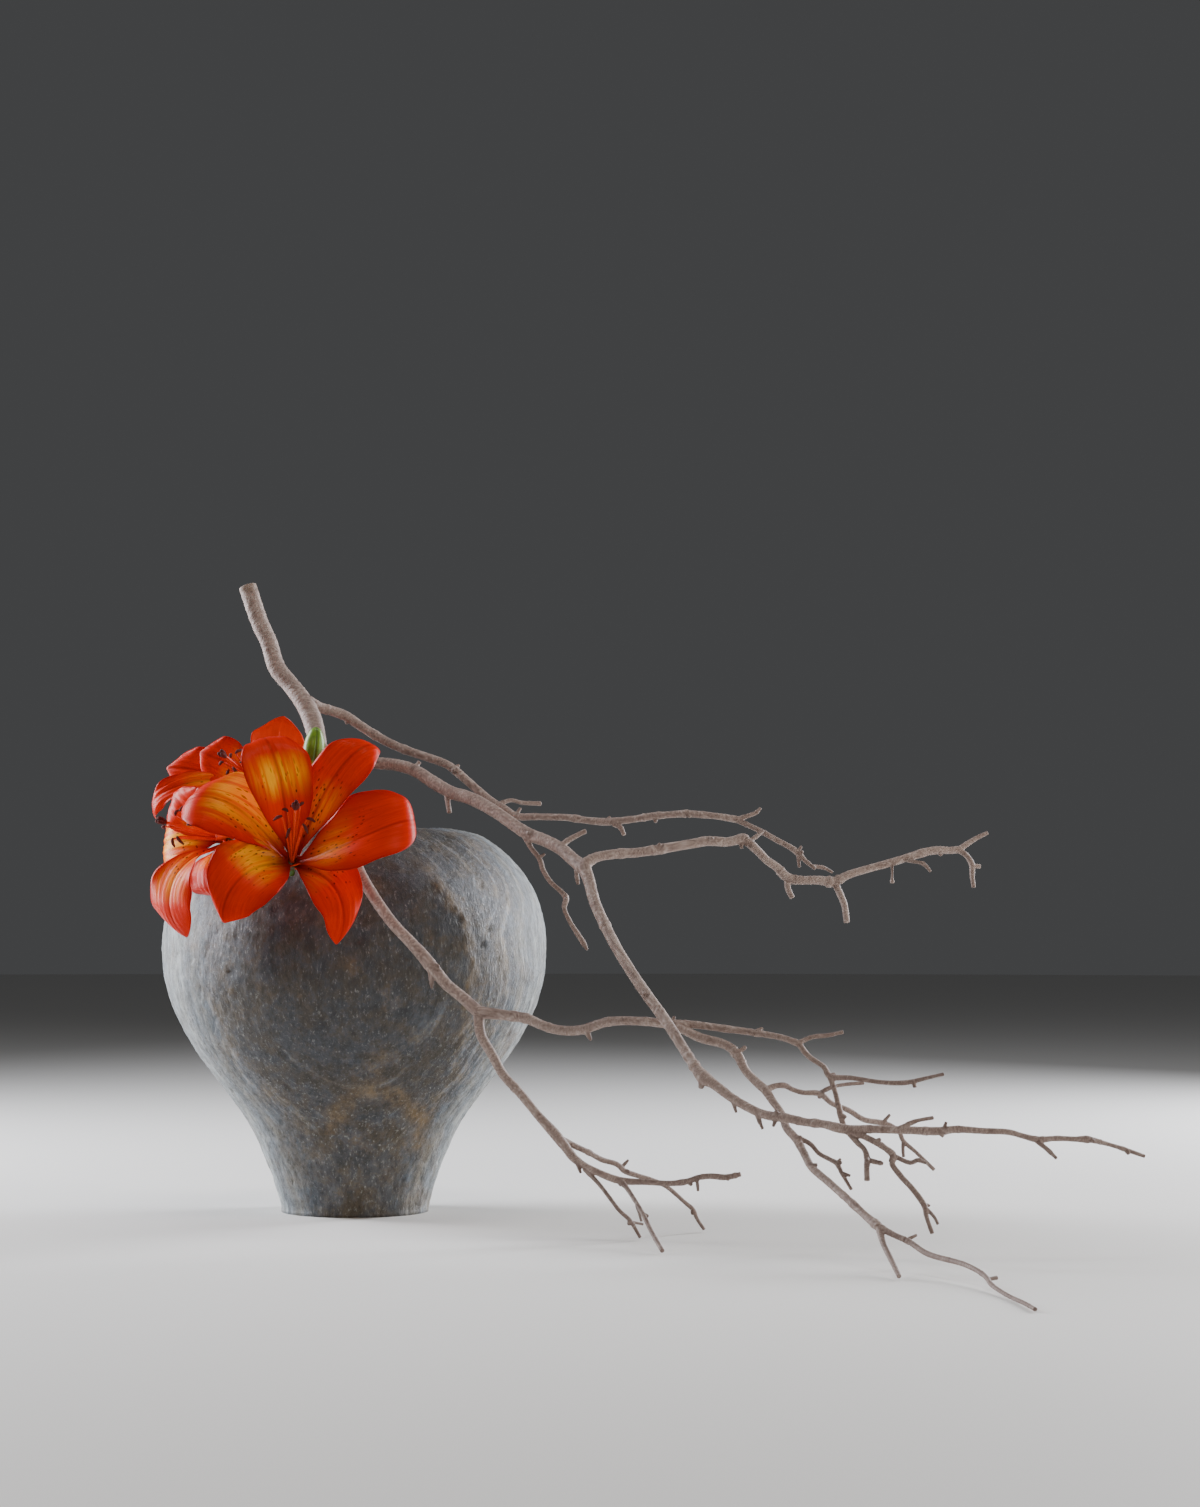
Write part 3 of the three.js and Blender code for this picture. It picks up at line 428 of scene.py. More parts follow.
relief = (relief - SKIN_SUNK) * on_outside * np.clip(tall / FOOT_FADE, 0, 1)
vase_points = vase_points + outward * relief[:, None]
foot_centre, well_centre = len(vase_points), len(vase_points) + 1
vase = new_object(
    "vase_stone",
    np.vstack([vase_points, [(0, 0, 0), (0, 0, WELL_HEIGHT)]]),
    ring_faces(len(vase_path), VASE_SEGMENTS, foot_centre, well_centre),
    worked_stone(),
)
ochre_seam = ARCH_COLOUR * arch + RIDGE_COLOUR * ridge
guides = (bedding_and_shade, edge_on, ochre_seam, BROWN_COLOUR * brown_seam)
for guide, values in zip(("bedding_and_shade", "edge_on", "ochre_seam", "brown_seam"), guides):
    paint(vase, guide, np.append(values, [0, 0]))
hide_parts("vase")
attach(vase, "root")

# ---- The water --------------------------------------------------------------------------------
# Still water fills the urn up to its shoulder, and the branch and the lily stem stand in it. It
# shows only as a dark mirror down the mouth.
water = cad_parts["water"]
clear_water, _, _ = new_material(
    "clear_still_water", Base_Color=linear("#DDE8E8"), Roughness=0.02, IOR=1.333, Transmission_Weight=0.9
)
water.data.materials.clear()
water.data.materials.append(clear_water)

# ---- The branch -------------------------------------------------------------------------------
# One dry, leafless branch as it grew, of pale taupe bark that is smooth but finely wrinkled along
# its length, swollen at each fork and bud scar. It is sawn off square at its top and at its foot.

# the limbs, by their stations (x, y, z, diameter)
BRANCH_FOOT = [
    (-23, -32, 320, 10), (-17, -22, 292, 9.4), (-10, -8, 256, 9), (-5, 4, 214, 9), (-2, 12, 168, 9),
]
LIMBS = [
    # trunk
    [(-78, 22, 444, 12.8), (-69, 17, 418, 12.3), (-62, 13, 403, 12), (-56, 8, 385, 12.4),
     (-46, 2, 372.5, 12.2), (-36, -6, 359.5, 13.1), (-30, -12, 348, 13.7), (-26, -20, 335, 13),
     (-23, -32, 320, 10.8)],
    BRANCH_FOOT,
    # the limb that leans over the rim, in front of the vase
    [(-23, -32, 320, 10.8), (-15, -58, 298, 9.3), (-7, -90, 277, 8.5), (3, -121.5, 255, 8.2),
     (12, -140, 235, 7.8), (22, -148, 219, 7.6), (33, -153, 204, 7.4), (43.5, -158, 193, 7.5),
     (52, -161, 184, 8.2), (59.5, -164, 175, 8.8), (69, -168, 164, 7.5), (80, -171, 155, 7.5),
     (90, -176, 146, 8.1)],
    # its level arm to the right
    [(90, -176, 146, 7.8), (108.5, -181, 144, 6.8), (121.5, -185, 142, 6.6), (131, -188, 138, 6.2),
     (141.5, -191, 135, 6.1), (155.5, -195, 135, 6.3), (173.5, -200, 140.5, 5.8),
     (195.5, -205, 141, 5.5), (211.5, -208, 139.5, 6), (228, -210, 139, 5),
     (247.5, -213, 136.5, 4.5), (267.5, -217, 134, 4.2), (283.5, -220, 131, 3.9),
     (293.5, -222, 127.5, 4.4)],
    [(293.5, -222, 127.5, 4), (299, -226, 120, 3.6), (308.5, -231, 113, 3.3), (312, -234, 107.5, 4),
     (325.5, -237, 106.5, 3), (344, -241, 104, 2.9), (358.5, -244, 104, 3.2),
     (371.5, -246, 107, 2.4), (381.5, -248, 109.5, 2.2)],
    [(312, -234, 107.5, 3.8), (315, -237, 97.5, 3.2), (316.5, -239, 90.5, 3.5),
     (318, -241, 83.5, 4.1), (319.5, -242, 77.5, 3.6)],
    # the middle arm, which forks off it
    [(211.5, -208, 139.5, 5.8), (221.5, -212, 135.5, 5.4), (231.5, -216, 131, 6.1),
     (247.5, -223, 126.5, 5.7), (254, -228, 121, 6.3), (259, -234, 111, 5.3),
     (266, -242, 103.5, 5.6), (270.5, -248, 99.5, 6)],
    [(270.5, -248, 99.5, 4.6), (277, -245, 102, 3.6), (283, -243, 102, 3.8), (288, -241, 99.5, 3.2),
     (294.5, -239, 97.5, 3.1), (305.5, -234, 96.5, 3.8), (314, -227, 90, 3.4),
     (325.5, -221, 85, 3.6), (335.5, -217, 79, 3.6), (350, -212, 76, 3.5), (358.5, -209, 71, 3.1),
     (361.5, -207, 65, 2.9), (370.5, -204, 57, 2.5), (382, -200, 46, 2.5)],
    # the low limb, down to the surface at the right
    [(270.5, -248, 99.5, 5.8), (274, -254, 93.5, 5), (279, -262, 86, 4.8), (281.5, -271, 77.5, 5),
     (286.5, -279, 71.5, 5.3), (290.5, -288, 63.5, 4.7), (294, -297, 56, 4.8), (304, -312, 47, 4.7),
     (314.5, -331, 37.5, 4.7), (322.5, -346, 30, 4.8), (328, -357, 25.5, 5.9)],
    [(328, -357, 25.5, 4.8), (336, -364, 21.5, 3.6), (343.5, -371, 18.5, 3.5),
     (352.5, -385, 13, 3.4), (370, -415, 10, 3.1), (377, -440, 7, 2.9), (378.5, -460, 3.8, 2.7),
     (382.5, -490, 1.8, 2.4), (386, -522, 1.8, 2.4), (387.5, -546, 1.8, 2.2)],
    [(328, -357, 25.5, 4.6), (329.5, -366, 17, 3.6), (332, -378, 10, 3.3), (333.5, -408, 2.6, 2.8)],
    [(285.5, -277, 73, 3.4), (295, -282, 68.5, 3), (300, -286, 63, 2.8), (306.5, -290, 59.5, 2.8),
     (310, -293, 57.5, 3.1), (313, -297, 51.5, 2.6), (318, -302, 42.5, 2.1)],
    # the limb that hangs in front of the vase's foot
    [(90, -176, 146, 7.4), (91.5, -179, 132, 6.5), (99, -182, 118.5, 6.2), (106, -184, 106, 6),
     (117, -187, 94, 5.8), (129, -190, 79.5, 5.7), (140, -193, 67.5, 7), (146, -194, 60, 6.2),
     (151.5, -195, 53, 5.8), (157.5, -196, 48.5, 4.8), (165.5, -197, 44.5, 4.5),
     (180, -199, 39, 4.9), (197, -202, 38, 3.8), (214.5, -205, 37.5, 3.6), (224, -207, 39, 3.8),
     (231, -208, 41.5, 3.5), (238.5, -210, 42.5, 3.8), (248, -212, 42, 3.9), (257, -214, 44, 3.1)],
    [(144, -193, 64.5, 4.5), (152.5, -189, 60, 4), (161.5, -184, 55.5, 3.6), (170, -179, 50.5, 3.6),
     (180, -174, 47, 3.5), (185, -171, 42.5, 3.7), (194, -167, 39, 3.3), (203, -163, 36, 3.1),
     (212.5, -159, 31.5, 3), (225, -153, 20.5, 2.8), (230.5, -151, 15.5, 3.1), (233.5, -149, 9, 2.5),
     (238, -146.5, 2.2, 2.3)],
    [(158.5, -196, 46, 3.5), (167.5, -196, 36.5, 2.8), (174.5, -196, 27.5, 2.7),
     (181, -196, 19, 2.7), (187.5, -196, 13, 2.8), (194, -197, 2.2, 2.1)],
    [(180.5, -199, 39, 3.8), (184.5, -207, 35.5, 3.2), (188.5, -217, 30, 2.9),
     (194.5, -236, 20.5, 3), (199, -254, 11.5, 2.9), (204.5, -276, 2.4, 2.9)],
    # the long limb to the right
    [(-24, -27, 326, 10), (-11.5, -30, 319.5, 9.2), (2, -33, 316, 8.6), (14, -36, 315, 8.4),
     (32, -40, 313, 8.3), (44, -45, 309, 8.4), (58, -54, 300, 8.8), (70, -62, 293, 8.8),
     (80, -68, 290, 8.9), (89.5, -75, 285.5, 8.6), (101, -84, 278.5, 8.2), (114, -95, 269, 8.1),
     (122.5, -102, 263.5, 8.6), (134.5, -112, 258.5, 8.3), (145, -122, 252.5, 8.4),
     (152, -130, 246, 8.6), (159, -139, 240, 9.9)],
    # its upper arm
    [(159, -139, 242, 8.4), (167, -135, 247, 6.6), (180.5, -131, 249.5, 6.4),
     (194.5, -127, 250.5, 6.3), (207.5, -124, 252.5, 6.5), (234, -117, 257, 6.4),
     (242, -115, 258.5, 6.7), (256, -112, 258, 6.2), (267, -109, 259.5, 6.6),
     (276, -108, 252.5, 5.8), (283, -107, 245.5, 5.5), (289, -106, 241.5, 5.8),
     (297, -105, 234, 6.7), (305, -104, 232.5, 5.9), (317.5, -102, 232.5, 5.8),
     (328.5, -100, 231.5, 6.7), (338, -99, 236, 5.4), (353, -96, 240.5, 5.1), (366, -94, 244, 5.3),
     (379.5, -91, 248, 5.3), (393, -88, 252, 5.4), (400.5, -86, 253, 5.5), (409, -84, 253, 4.8),
     (416, -83, 253.5, 5.1)],
    [(415.5, -83, 253.5, 4.4), (420.5, -81, 257, 3.8), (429, -78, 262, 3.1), (435.5, -76, 265, 2.6)],
    [(415.5, -83, 253, 4.1), (420, -85, 249.5, 3.6), (423.5, -87, 243, 4.1),
     (423.5, -88, 235.5, 3.2), (424.5, -88, 228, 2.8)],
    [(329.5, -100, 230, 4.8), (332.5, -102, 223, 4.5), (335, -104, 216, 4.4),
     (336.5, -106, 204.5, 4)],
    # its drooping arm, which runs out to the far right
    [(159, -139, 241, 9.3), (162.4, -146, 231.5, 7.9), (166, -157, 217, 7.4),
     (172.4, -169, 202, 7.1), (179.5, -182, 187.5, 6.9), (188.4, -195, 172.5, 6.9),
     (197.2, -207, 159, 7.1), (205.4, -218, 147.5, 7), (213, -230, 136, 6.8),
     (220.5, -242, 123.5, 6.5), (227, -253, 113, 6.9), (231, -257, 108, 9),
     (236.5, -261, 104.5, 6.5), (242.5, -265, 100, 6.1), (248.5, -269, 95.5, 5.7),
     (254.5, -273, 92, 5.6), (265, -279, 87, 5.4), (272, -283, 85.5, 5.8), (281, -287, 84.5, 5.5),
     (291, -291, 82.5, 5.1), (302, -295, 81.5, 5.1), (310.5, -298, 79.5, 6.1),
     (317, -300, 78.5, 5.8), (328, -302, 79, 5.1), (352, -305, 78.5, 4.8), (370.5, -305, 78, 5.2),
     (381.5, -304, 79, 4.5), (397, -303, 78, 3.9), (414, -301, 77, 3.6), (423, -300, 74.5, 3.4),
     (431.5, -299, 72.5, 4), (443, -297, 73, 3.2), (454.5, -296, 72.5, 3.3), (464, -294, 72, 3.8),
     (476, -292, 69, 2.6), (487, -290, 65.5, 2.7), (498.5, -288, 61.5, 2.3)],
    [(316, -300, 77.5, 4.9), (324.5, -303, 75, 3.8), (332, -306, 71.5, 3.9), (337, -308, 68.5, 3.6),
     (342.5, -310, 63.5, 4.6), (341.5, -312, 59, 3.7), (346, -316, 52, 3.6),
     (353.5, -320, 43.5, 3.6), (359.5, -325, 34, 3.6), (360, -327, 29, 2.8), (363, -331, 19, 2.5)],
    [(317, -300, 76.5, 4), (322, -303, 70.5, 3.5), (325.5, -305, 67, 3.2), (327, -307, 61.5, 4),
     (326.5, -309, 56, 3.5), (326.5, -311, 49, 3.6)],
    # the thin back limb
    [(-33, -7, 360, 8.6), (-25, -2, 356, 7.4), (-15.5, 3, 353.5, 7.1), (-6.5, 5, 350, 7.2),
     (4, 4, 343, 6.7), (16.5, 0, 335, 6.5), (28, -4, 329, 6.3), (40, -9, 324, 6.1),
     (63.5, -19, 315.5, 5.8), (70, -22, 311.5, 6), (78.5, -26, 304, 5.9), (87.5, -31, 296, 5.7),
     (96.5, -36, 288.5, 5.6), (105.5, -41, 283, 5.3), (114.5, -45, 277.5, 5.1), (127, -50, 277, 4.7),
     (150.5, -58, 276, 4.7), (163, -62, 274, 4.7), (176, -66, 273, 5.3), (194, -71, 274.5, 4.6),
     (207, -74, 276.5, 5.2), (219, -76, 277.5, 4.6), (230.5, -78, 278, 4.9), (249, -80, 276.5, 4.4),
     (265, -81, 274, 4.7)],
    [(264.5, -81, 274, 3.7), (272, -79, 276.5, 3), (278, -77, 279, 2.7), (281, -76, 282, 1.8)],
    [(265, -81, 273.5, 4.1), (273, -84, 269.5, 3.6), (281, -87, 265.5, 3.7), (290.5, -89, 260, 3.8),
     (300.5, -91, 254.5, 3.9), (305, -92, 251, 4.3), (310, -94, 245.5, 2.8),
     (316, -96.5, 240.5, 2.6)],
    # the twig that hangs from the long limb
    [(120.5, -101, 262, 4.7), (124.5, -105, 254, 3.4), (130, -109, 246.5, 3.4),
     (132.5, -111, 239, 3.4), (137.5, -114, 231, 3.2), (144.5, -117, 224.5, 3.3),
     (147.5, -119, 220.5, 4.1), (146.5, -120, 213.5, 3.1), (150, -122, 205, 3.1),
     (155.5, -125, 196, 3.3), (159, -127, 190.5, 3.7), (161.5, -129, 186, 1.9)],
]
TWIGS = [
    [(293.5, -222, 128, 3.4), (302, -220, 131.5, 2.8), (312, -218, 132.5, 2.6), (322, -216, 134.5, 2.2)],
    [(363, -245, 105, 2.9), (364, -245, 101.3, 2.4)],
    [(254.5, -228, 122, 3.8), (259.5, -226, 125.5, 2.2)],
    [(305.5, -234, 97, 2.8), (313, -229, 100, 2.4), (320.5, -225, 101.5, 2.3), (334.5, -220, 102.5, 2.5)],
    [(361.5, -207, 65.5, 2.4), (361.5, -206, 59.5, 2.2), (362, -205, 54.5, 2)],
    [(347.5, -213, 76.5, 2.4), (352.5, -210, 81.5, 1.8)],
    [(313, -297, 52, 2.2), (317.5, -299, 50.5, 1.7)],
    [(310, -293, 57.5, 2.4), (312.5, -291.5, 60, 1.7)],
    [(378, -448, 5.6, 2.3), (383.5, -444, 6, 2.3)],
    [(342.5, -370, 19, 2.2), (349, -366, 21.5, 1.8)],
    [(183, -172, 45, 2.6), (187.5, -169, 49.5, 1.6)],
    [(188.5, -196, 12, 1.9), (196, -192, 10, 1.6)],
    [(190.5, -223, 26.5, 2.2), (193.5, -231, 16, 1.6)],
    [(230, -208, 40, 2.4), (230.5, -209, 33, 1.8)],
    [(153.5, -196, 50, 2.8), (156, -198, 43.5, 1.7)],
    [(423.5, -87, 242.5, 3.2), (429, -85, 242, 3)],
    [(296.5, -105, 233, 4.5), (297, -107, 226.5, 4.1), (299.5, -108, 221, 3.6)],
    [(368.5, -94, 243.5, 2.2), (368.5, -94, 235.5, 1.6), (368.5, -94, 231, 2.8)],
    [(376, -92, 246.5, 2.8), (384, -95, 245, 2.3), (389.5, -96, 243.5, 2.5), (394, -97, 238.5, 2)],
    [(271, -109, 258.5, 3.4), (276, -105, 262, 2.5), (280.5, -101, 265.5, 2.4)],
    [(265, -110, 257.5, 3.4), (265.5, -111, 254, 2.1)],
    [(66.5, -60, 292.5, 4.4), (67.5, -64, 285, 3.6), (68.5, -66, 279.5, 3.4)],
    [(43.5, -45, 310, 4.2), (47, -43, 315, 2.5)],
    [(143.5, -121, 254, 4.7), (148.5, -119, 258.5, 3.8), (154.5, -117, 262, 3.4),
     (160.5, -115, 265, 3.3)],
    [(154.5, -133, 241.5, 3.8), (154.5, -133, 235.5, 2.8), (155.5, -133, 229.5, 2.2)],
    [(130, -109, 247.5, 2.3), (133.5, -108, 250, 1.7)],
    [(230, -257, 107, 5.2), (229.5, -258, 101.5, 3.1)],
    [(248.5, -269, 94, 2.9), (250.5, -270, 87, 1.6)],
    [(262.5, -278, 87.5, 3.8), (264, -279, 82.5, 2.6), (266, -280, 77.5, 1.7)],
    [(274, -284, 84.5, 3.2), (272, -285, 79.5, 1.7)],
    [(430.5, -299, 72, 3.2), (437, -302, 66.5, 2.7), (442, -304, 61.5, 2.1)],
    [(347, -305, 80, 2.8), (358, -301, 84, 2.4), (368, -297, 85.5, 2.3)],
    [(373.5, -305, 79, 2.6), (375, -305.5, 83.5, 1.7)],
    [(359.5, -325, 34, 2.6), (365, -326, 28, 2.1), (367, -327, 24, 1.9)],
    [(358.5, -324, 36, 2.6), (362.5, -322, 34.5, 1.8)],
    [(342.5, -310, 63.5, 3), (352.5, -312, 59.5, 2.8), (357, -313, 61, 2.8), (361.5, -314, 59.5, 2)],
    [(327, -307, 61, 3), (332, -307, 59.5, 3.1), (336.5, -306, 58.5, 2.2)],
    [(314.5, -95.5, 242, 2.5), (322.5, -91, 241, 2.4), (328.5, -89, 238, 2)],
    [(305, -92, 250, 2.6), (306, -91, 241.5, 2.1)],
    [(305, -92, 252, 2.6), (307.5, -91, 255.5, 1.8)],
    [(181.5, -68, 271.5, 4.2), (185.5, -70, 269, 3.4), (188, -71, 264, 3)],
    [(70, -22, 311.5, 3.6), (74, -20, 314, 2.2)],
    [(101, -38, 285.5, 3.8), (110.5, -32, 289, 2.8), (118, -29, 287.5, 2.9), (131, -24, 287, 3.4)],
    [(114.5, -45, 279, 3), (117, -44, 283, 2)],
    [(209, -74, 275.5, 4), (209.5, -75, 272.5, 2.3)],
    [(59, -165, 172, 4.8), (59.5, -168, 161.5, 1.7)],
    [(159.5, -196, 134.5, 4.6), (162.5, -197, 128.5, 1.7)],
    [(265.5, -217, 134.5, 2.8), (271, -215, 137, 1.9)],
    [(214, -208, 140.5, 3), (215.5, -207, 144, 1.9)],
]
BARK_GRAIN = 0.55
RING_SIDES = 14
FIRST_SIDE = (0.13, 0.31, 0.94)
DOME_IN, DOME_OUT, TIP_OUT = 0.35, 0.4, 0.55
TUBE_STEP, HEART_STEP = 1.6, 0.4
SOFTENINGS = 6
WRINKLE_GRAIN, WRINKLE_DRAW = 1.6, 0.22
SCAR_SPACING, KNOT_SPACING = 2.4, 7
KNOT_LIMIT, KNOT_LEVEL = 3.6, 0.25
# depths of wrinkles, scars and knots, as shares of the limb's radius
WRINKLE_DEPTH, SCAR_DEPTH, KNOT_DEPTH = 0.03, 0.03, 0.5
SKIN_WAVE = (0.03, 3.5, 2, 6.0)
FULLEST = 0.35
FLAT_CUT, SAW_REACH = 0.6, 8.5
GROWTH_RING = 0.9
BUD_SEED, BUD_LIMIT, BUD_OUT, BUD_ON = 11, 9, 0.8, 0.55


def tube(path):
    """A round tube with a domed end along a path of (x, y, z, diameter): its points and faces."""
    centres, radii = path[:, :3], path[:, 3] / 2
    forward = directions(centres)
    side = np.array(FIRST_SIDE)
    turns = ring_turns(RING_SIDES)
    rings = []
    for centre, radius, along in zip(centres, radii, forward):
        side = side - along * side.dot(along)
        side /= np.linalg.norm(side)
        across = np.cross(along, side)
        rings.append(centre + radius * (np.outer(np.cos(turns), side) + np.outer(np.sin(turns), across)))
    dome = rings[-1] + (centres[-1] - rings[-1]) * DOME_IN + forward[-1] * radii[-1] * DOME_OUT
    rings.append(dome)
    tip = centres[-1] + forward[-1] * radii[-1] * TIP_OUT
    points = np.vstack([*rings, centres[0], tip])
    return points, ring_faces(len(rings), RING_SIDES, len(points) - 2, len(points) - 1)


def gather(parts):
    """Several meshes' points and faces as one list of each."""
    points, faces = [], []
    for part_points, part_faces in parts:
        faces += [tuple(corner + len(points) for corner in face) for face in part_faces]
        points += np.asarray(part_points).tolist()
    return points, faces


def grow(name, limbs, grain, material):
    """Limbs grown into one another as one smooth mesh, with each vertex's nearest heartwood.

    Returns the piece, its vertices in millimetres and, for each of them, the nearest heartwood: its
    place and diameter, its direction and how far along the limb it is.
    """
    points, faces = gather(tube(smooth_path(stations, TUBE_STEP)) for stations in limbs)
    piece = new_object(name, points, faces, material)
    remesh = piece.modifiers.new("join", "REMESH")
    remesh.mode = "VOXEL"
    remesh.voxel_size = grain * MM
    smooth = piece.modifiers.new("soften", "SMOOTH")
    smooth.iterations = SOFTENINGS
    smooth.factor = 0.5
    joined = bpy.data.meshes.new_from_object(piece.evaluated_get(bpy.context.evaluated_depsgraph_get()))
    piece.modifiers.clear()
    piece.data = joined
    joined.shade_smooth()

    hearts = []
    for stations in limbs:
        heartwood = smooth_path(stations, HEART_STEP)
        along = HEART_STEP * np.arange(len(heartwood))
        hearts.append(np.column_stack([heartwood, directions(heartwood[:, :3]), along]))
    hearts = np.vstack(hearts)
    tree = kdtree.KDTree(len(hearts))
    for index, heart in enumerate(hearts):
        tree.insert(heart[:3], index)
    tree.balance()
    skin = np.empty(3 * len(joined.vertices))
    joined.vertices.foreach_get("co", skin)
    skin = skin.reshape(-1, 3) / MM
    nearest = hearts[[tree.find(point)[1] for point in skin]]
    return piece, skin, nearest


def dry_bark():
    """Thin dry bark: chalky taupe that darkens to brown in its wrinkles and on the thin twigs."""
    material, tree, shader = new_material("dry_taupe_bark", IOR=1.45)
    mm = own_place(tree)
    wrinkle = painted(tree, "wrinkle")
    thick = painted(tree, "thickness")
    sawn = painted(tree, "sawn")
    rings = painted(tree, "growth_rings")

    cloud = cloudy(tree, mm, 0.09, 4, 0.6)
    speck = cloudy(tree, mm, 1.1, 5, 0.7)
    tone = calc(tree, "MULTIPLY_ADD", cloud, 0.55, wrinkle)
    browns = ((0.0, "#46342D"), (0.2, "#5B473F"), (0.38, "#7E6A61"), (0.6, "#958279"), (0.85, "#B6A69D"))
    shade = colour_steps(tree, tone, browns)

    thin = remap(tree, thick, 2.4, 0.9, 0.0, 0.5)
    twig = blend(tree, thin, shade, "#543F36")
    old = remap(tree, thick, 4.6, 5.8, 0.3, 1.2)
    dark_speck = times(tree, remap(tree, speck, 0.56, 0.7, 0.0, 0.5), old)
    specked = blend(tree, dark_speck, twig, "#4E3B33")
    pale_speck = times(tree, remap(tree, speck, 0.44, 0.32, 0.0, 0.45), old)
    chalked = blend(tree, pale_speck, specked, "#C2B4AA")
    grain = blend(tree, rings, "#8E775C", "#5F4B38")
    whole = blend(tree, sawn, chalked, grain)
    dull = remap(tree, speck, 0.3, 0.7, 0.48, 0.72)
    wire(tree, shader, Base_Color=whole, Roughness=dull, Normal=raised(tree, speck, 0.5, 0.0003))
    return material


def node_buds(limbs):
    """A small dormant bud beside each swelling of the limbs, on a side picked by a seeded draw."""
    draw = np.random.default_rng(BUD_SEED)
    buds = []
    for rows in (np.array(stations) for stations in limbs):
        for before, here, after in zip(rows, rows[1:], rows[2:]):
            if max(before[3], after[3]) < here[3] < BUD_LIMIT:
                forward = (after - before)[:3] / np.linalg.norm((after - before)[:3])
                beside = np.cross(forward, draw.normal(size=3))
                out = BUD_OUT * beside / np.linalg.norm(beside) + BUD_ON * forward
                reach = here[3] / 2
                bud = ((0, 3), (reach + 0.4, 2.8), (reach + 1.9, 1.8))
                buds.append([(*(here[:3] + out * away), size) for away, size in bud])
    return buds


branch, skin, heart = grow("branch_bark", [*LIMBS, *TWIGS, *node_buds(LIMBS)], BARK_GRAIN, dry_bark())
from_heart = skin - heart[:, :3]
forward, radius = heart[:, 4:7], heart[:, 3] / 2
off_axis = from_heart - forward * np.sum(from_heart * forward, axis=1)[:, None]
reach = np.linalg.norm(off_axis, axis=1)
outward = off_axis / np.maximum(reach, 0.05)[:, None]
along_only = forward * np.sum(skin * forward, axis=1)[:, None]
drawn_out = (skin - along_only) + along_only * WRINKLE_DRAW
wrinkle = rough(drawn_out, WRINKLE_GRAIN, 2, 4.0)
scar = rough(np.column_stack([heart[:, 7] / SCAR_SPACING, radius * 3, radius * 7]), 1, 2, 8.0)
knot = rough(np.column_stack([heart[:, 7] / KNOT_SPACING, radius * 2, radius * 5]), 1, 1, 12.0)
knot = np.clip(knot - KNOT_LEVEL, 0, 0.5) * (radius < KNOT_LIMIT)
past_end = np.sum(from_heart * forward, axis=1)
flat_cut = np.abs(past_end) > FLAT_CUT
relief = np.clip(radius - reach, 0, FULLEST) + waves(skin, SKIN_WAVE)
relief += radius * (WRINKLE_DEPTH * wrinkle + SCAR_DEPTH * scar + KNOT_DEPTH * knot)
skin_out = (skin + outward * (relief * ~flat_cut)[:, None]) * MM
branch.data.vertices.foreach_set("co", skin_out.ravel())
branch.data.update()
from_saw = np.linalg.norm(skin - LIMBS[0][0][:3], axis=1)
saw_cut = (from_saw < SAW_REACH) & (past_end < -0.1)
paint(branch, "wrinkle", 0.28 + 0.34 * wrinkle)
paint(branch, "thickness", radius)
paint(branch, "sawn", saw_cut.astype(float))
paint(branch, "growth_rings", 0.5 + 0.5 * np.sin(2 * math.pi * reach / GROWTH_RING))
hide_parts("branch")
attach(branch, "root")

# ---- The lily stem ----------------------------------------------------------------------------
# One green stem stands in the water and forks, low behind the blooms, into a bent pedicel for each
# bloom and a short one for the bud. It is smooth and waxy, its green painted darker as shade under
# the blooms.
STEM_TOP = (-42, -40, 288)
STEM = [(-12, 10, 17.3, 8), (-17, 3, 120, 8), (-26, -13, 220, 8), (-33, -26, 258, 7.4), (*STEM_TOP, 6.6)]
STEM_GRAIN = 0.7
# the pedicels: the places that each one bends at, then how far below its bloom's base it arrives
PEDICEL_DIAMETER = 4.4
BUD_PEDICEL_DIAMETER = 3.2
APPROACH = (-8, -0.3 - 0.29 * PEDICEL_DIAMETER)


class Bloom:
    """Where a bloom stands: its base, the way it looks out, and its own up and right."""

    def __init__(self, base, lookout):
        self.base = np.array(base, float)
        self.axis = np.array(lookout, float) / np.linalg.norm(lookout)
        up = np.array([0, 0, 1.0]) - self.axis * self.axis[2]
        self.up = up / np.linalg.norm(up)
        self.right = np.cross(self.up, self.axis)

    def outward(self, heading):
        """The direction straight away from the axis at this heading, clockwise from up."""
        return self.up * math.cos(heading) + self.right * math.sin(heading)

    def at(self, along, away=0.0, heading=0.0):
        """A place so far along the axis and so far away from it."""
        return self.base + self.axis * along + self.outward(heading) * away


FRONT = Bloom((-34, -137, 241), (0.1, -0.83, 0.55))
LEFT = Bloom((-78, -88, 259), (-0.7, -0.68, 0.2))
UPPER = Bloom((-62, -34, 298), (-0.44, -0.8, 0.38))
BACK = Bloom((-40, -6, 295), (-0.46, 0.8, 0.38))
BUD = Bloom((-27, -51, 309), (0.11, -0.02, 1))
PEDICELS = [
    (FRONT, [(-41, -66, 297), (-36, -104, 281), (-34, -126, 255)], PEDICEL_DIAMETER),
    (LEFT, [(-52, -58, 287), (-66, -76, 272)], PEDICEL_DIAMETER),
    (UPPER, [(-50, -37, 292)], PEDICEL_DIAMETER),
    (BACK, [(-42, -28, 292)], PEDICEL_DIAMETER),
    (BUD, [], BUD_PEDICEL_DIAMETER),
]


def waxy_green(name, pale, dark, patch_mm):
    """Smooth waxy plant skin: mottled green with a soft shine."""
    material, tree, shader = new_material(
        name, Roughness=0.38, IOR=1.42, Subsurface_Weight=0.1, Subsurface_Scale=0.0015
    )
    mm = own_place(tree)
    patch = cloudy(tree, mm, 1 / patch_mm, 4)
    skin = blend(tree, patch, dark, pale)
    wire(tree, shader, Base_Color=skin)
    return material, tree, shader, skin


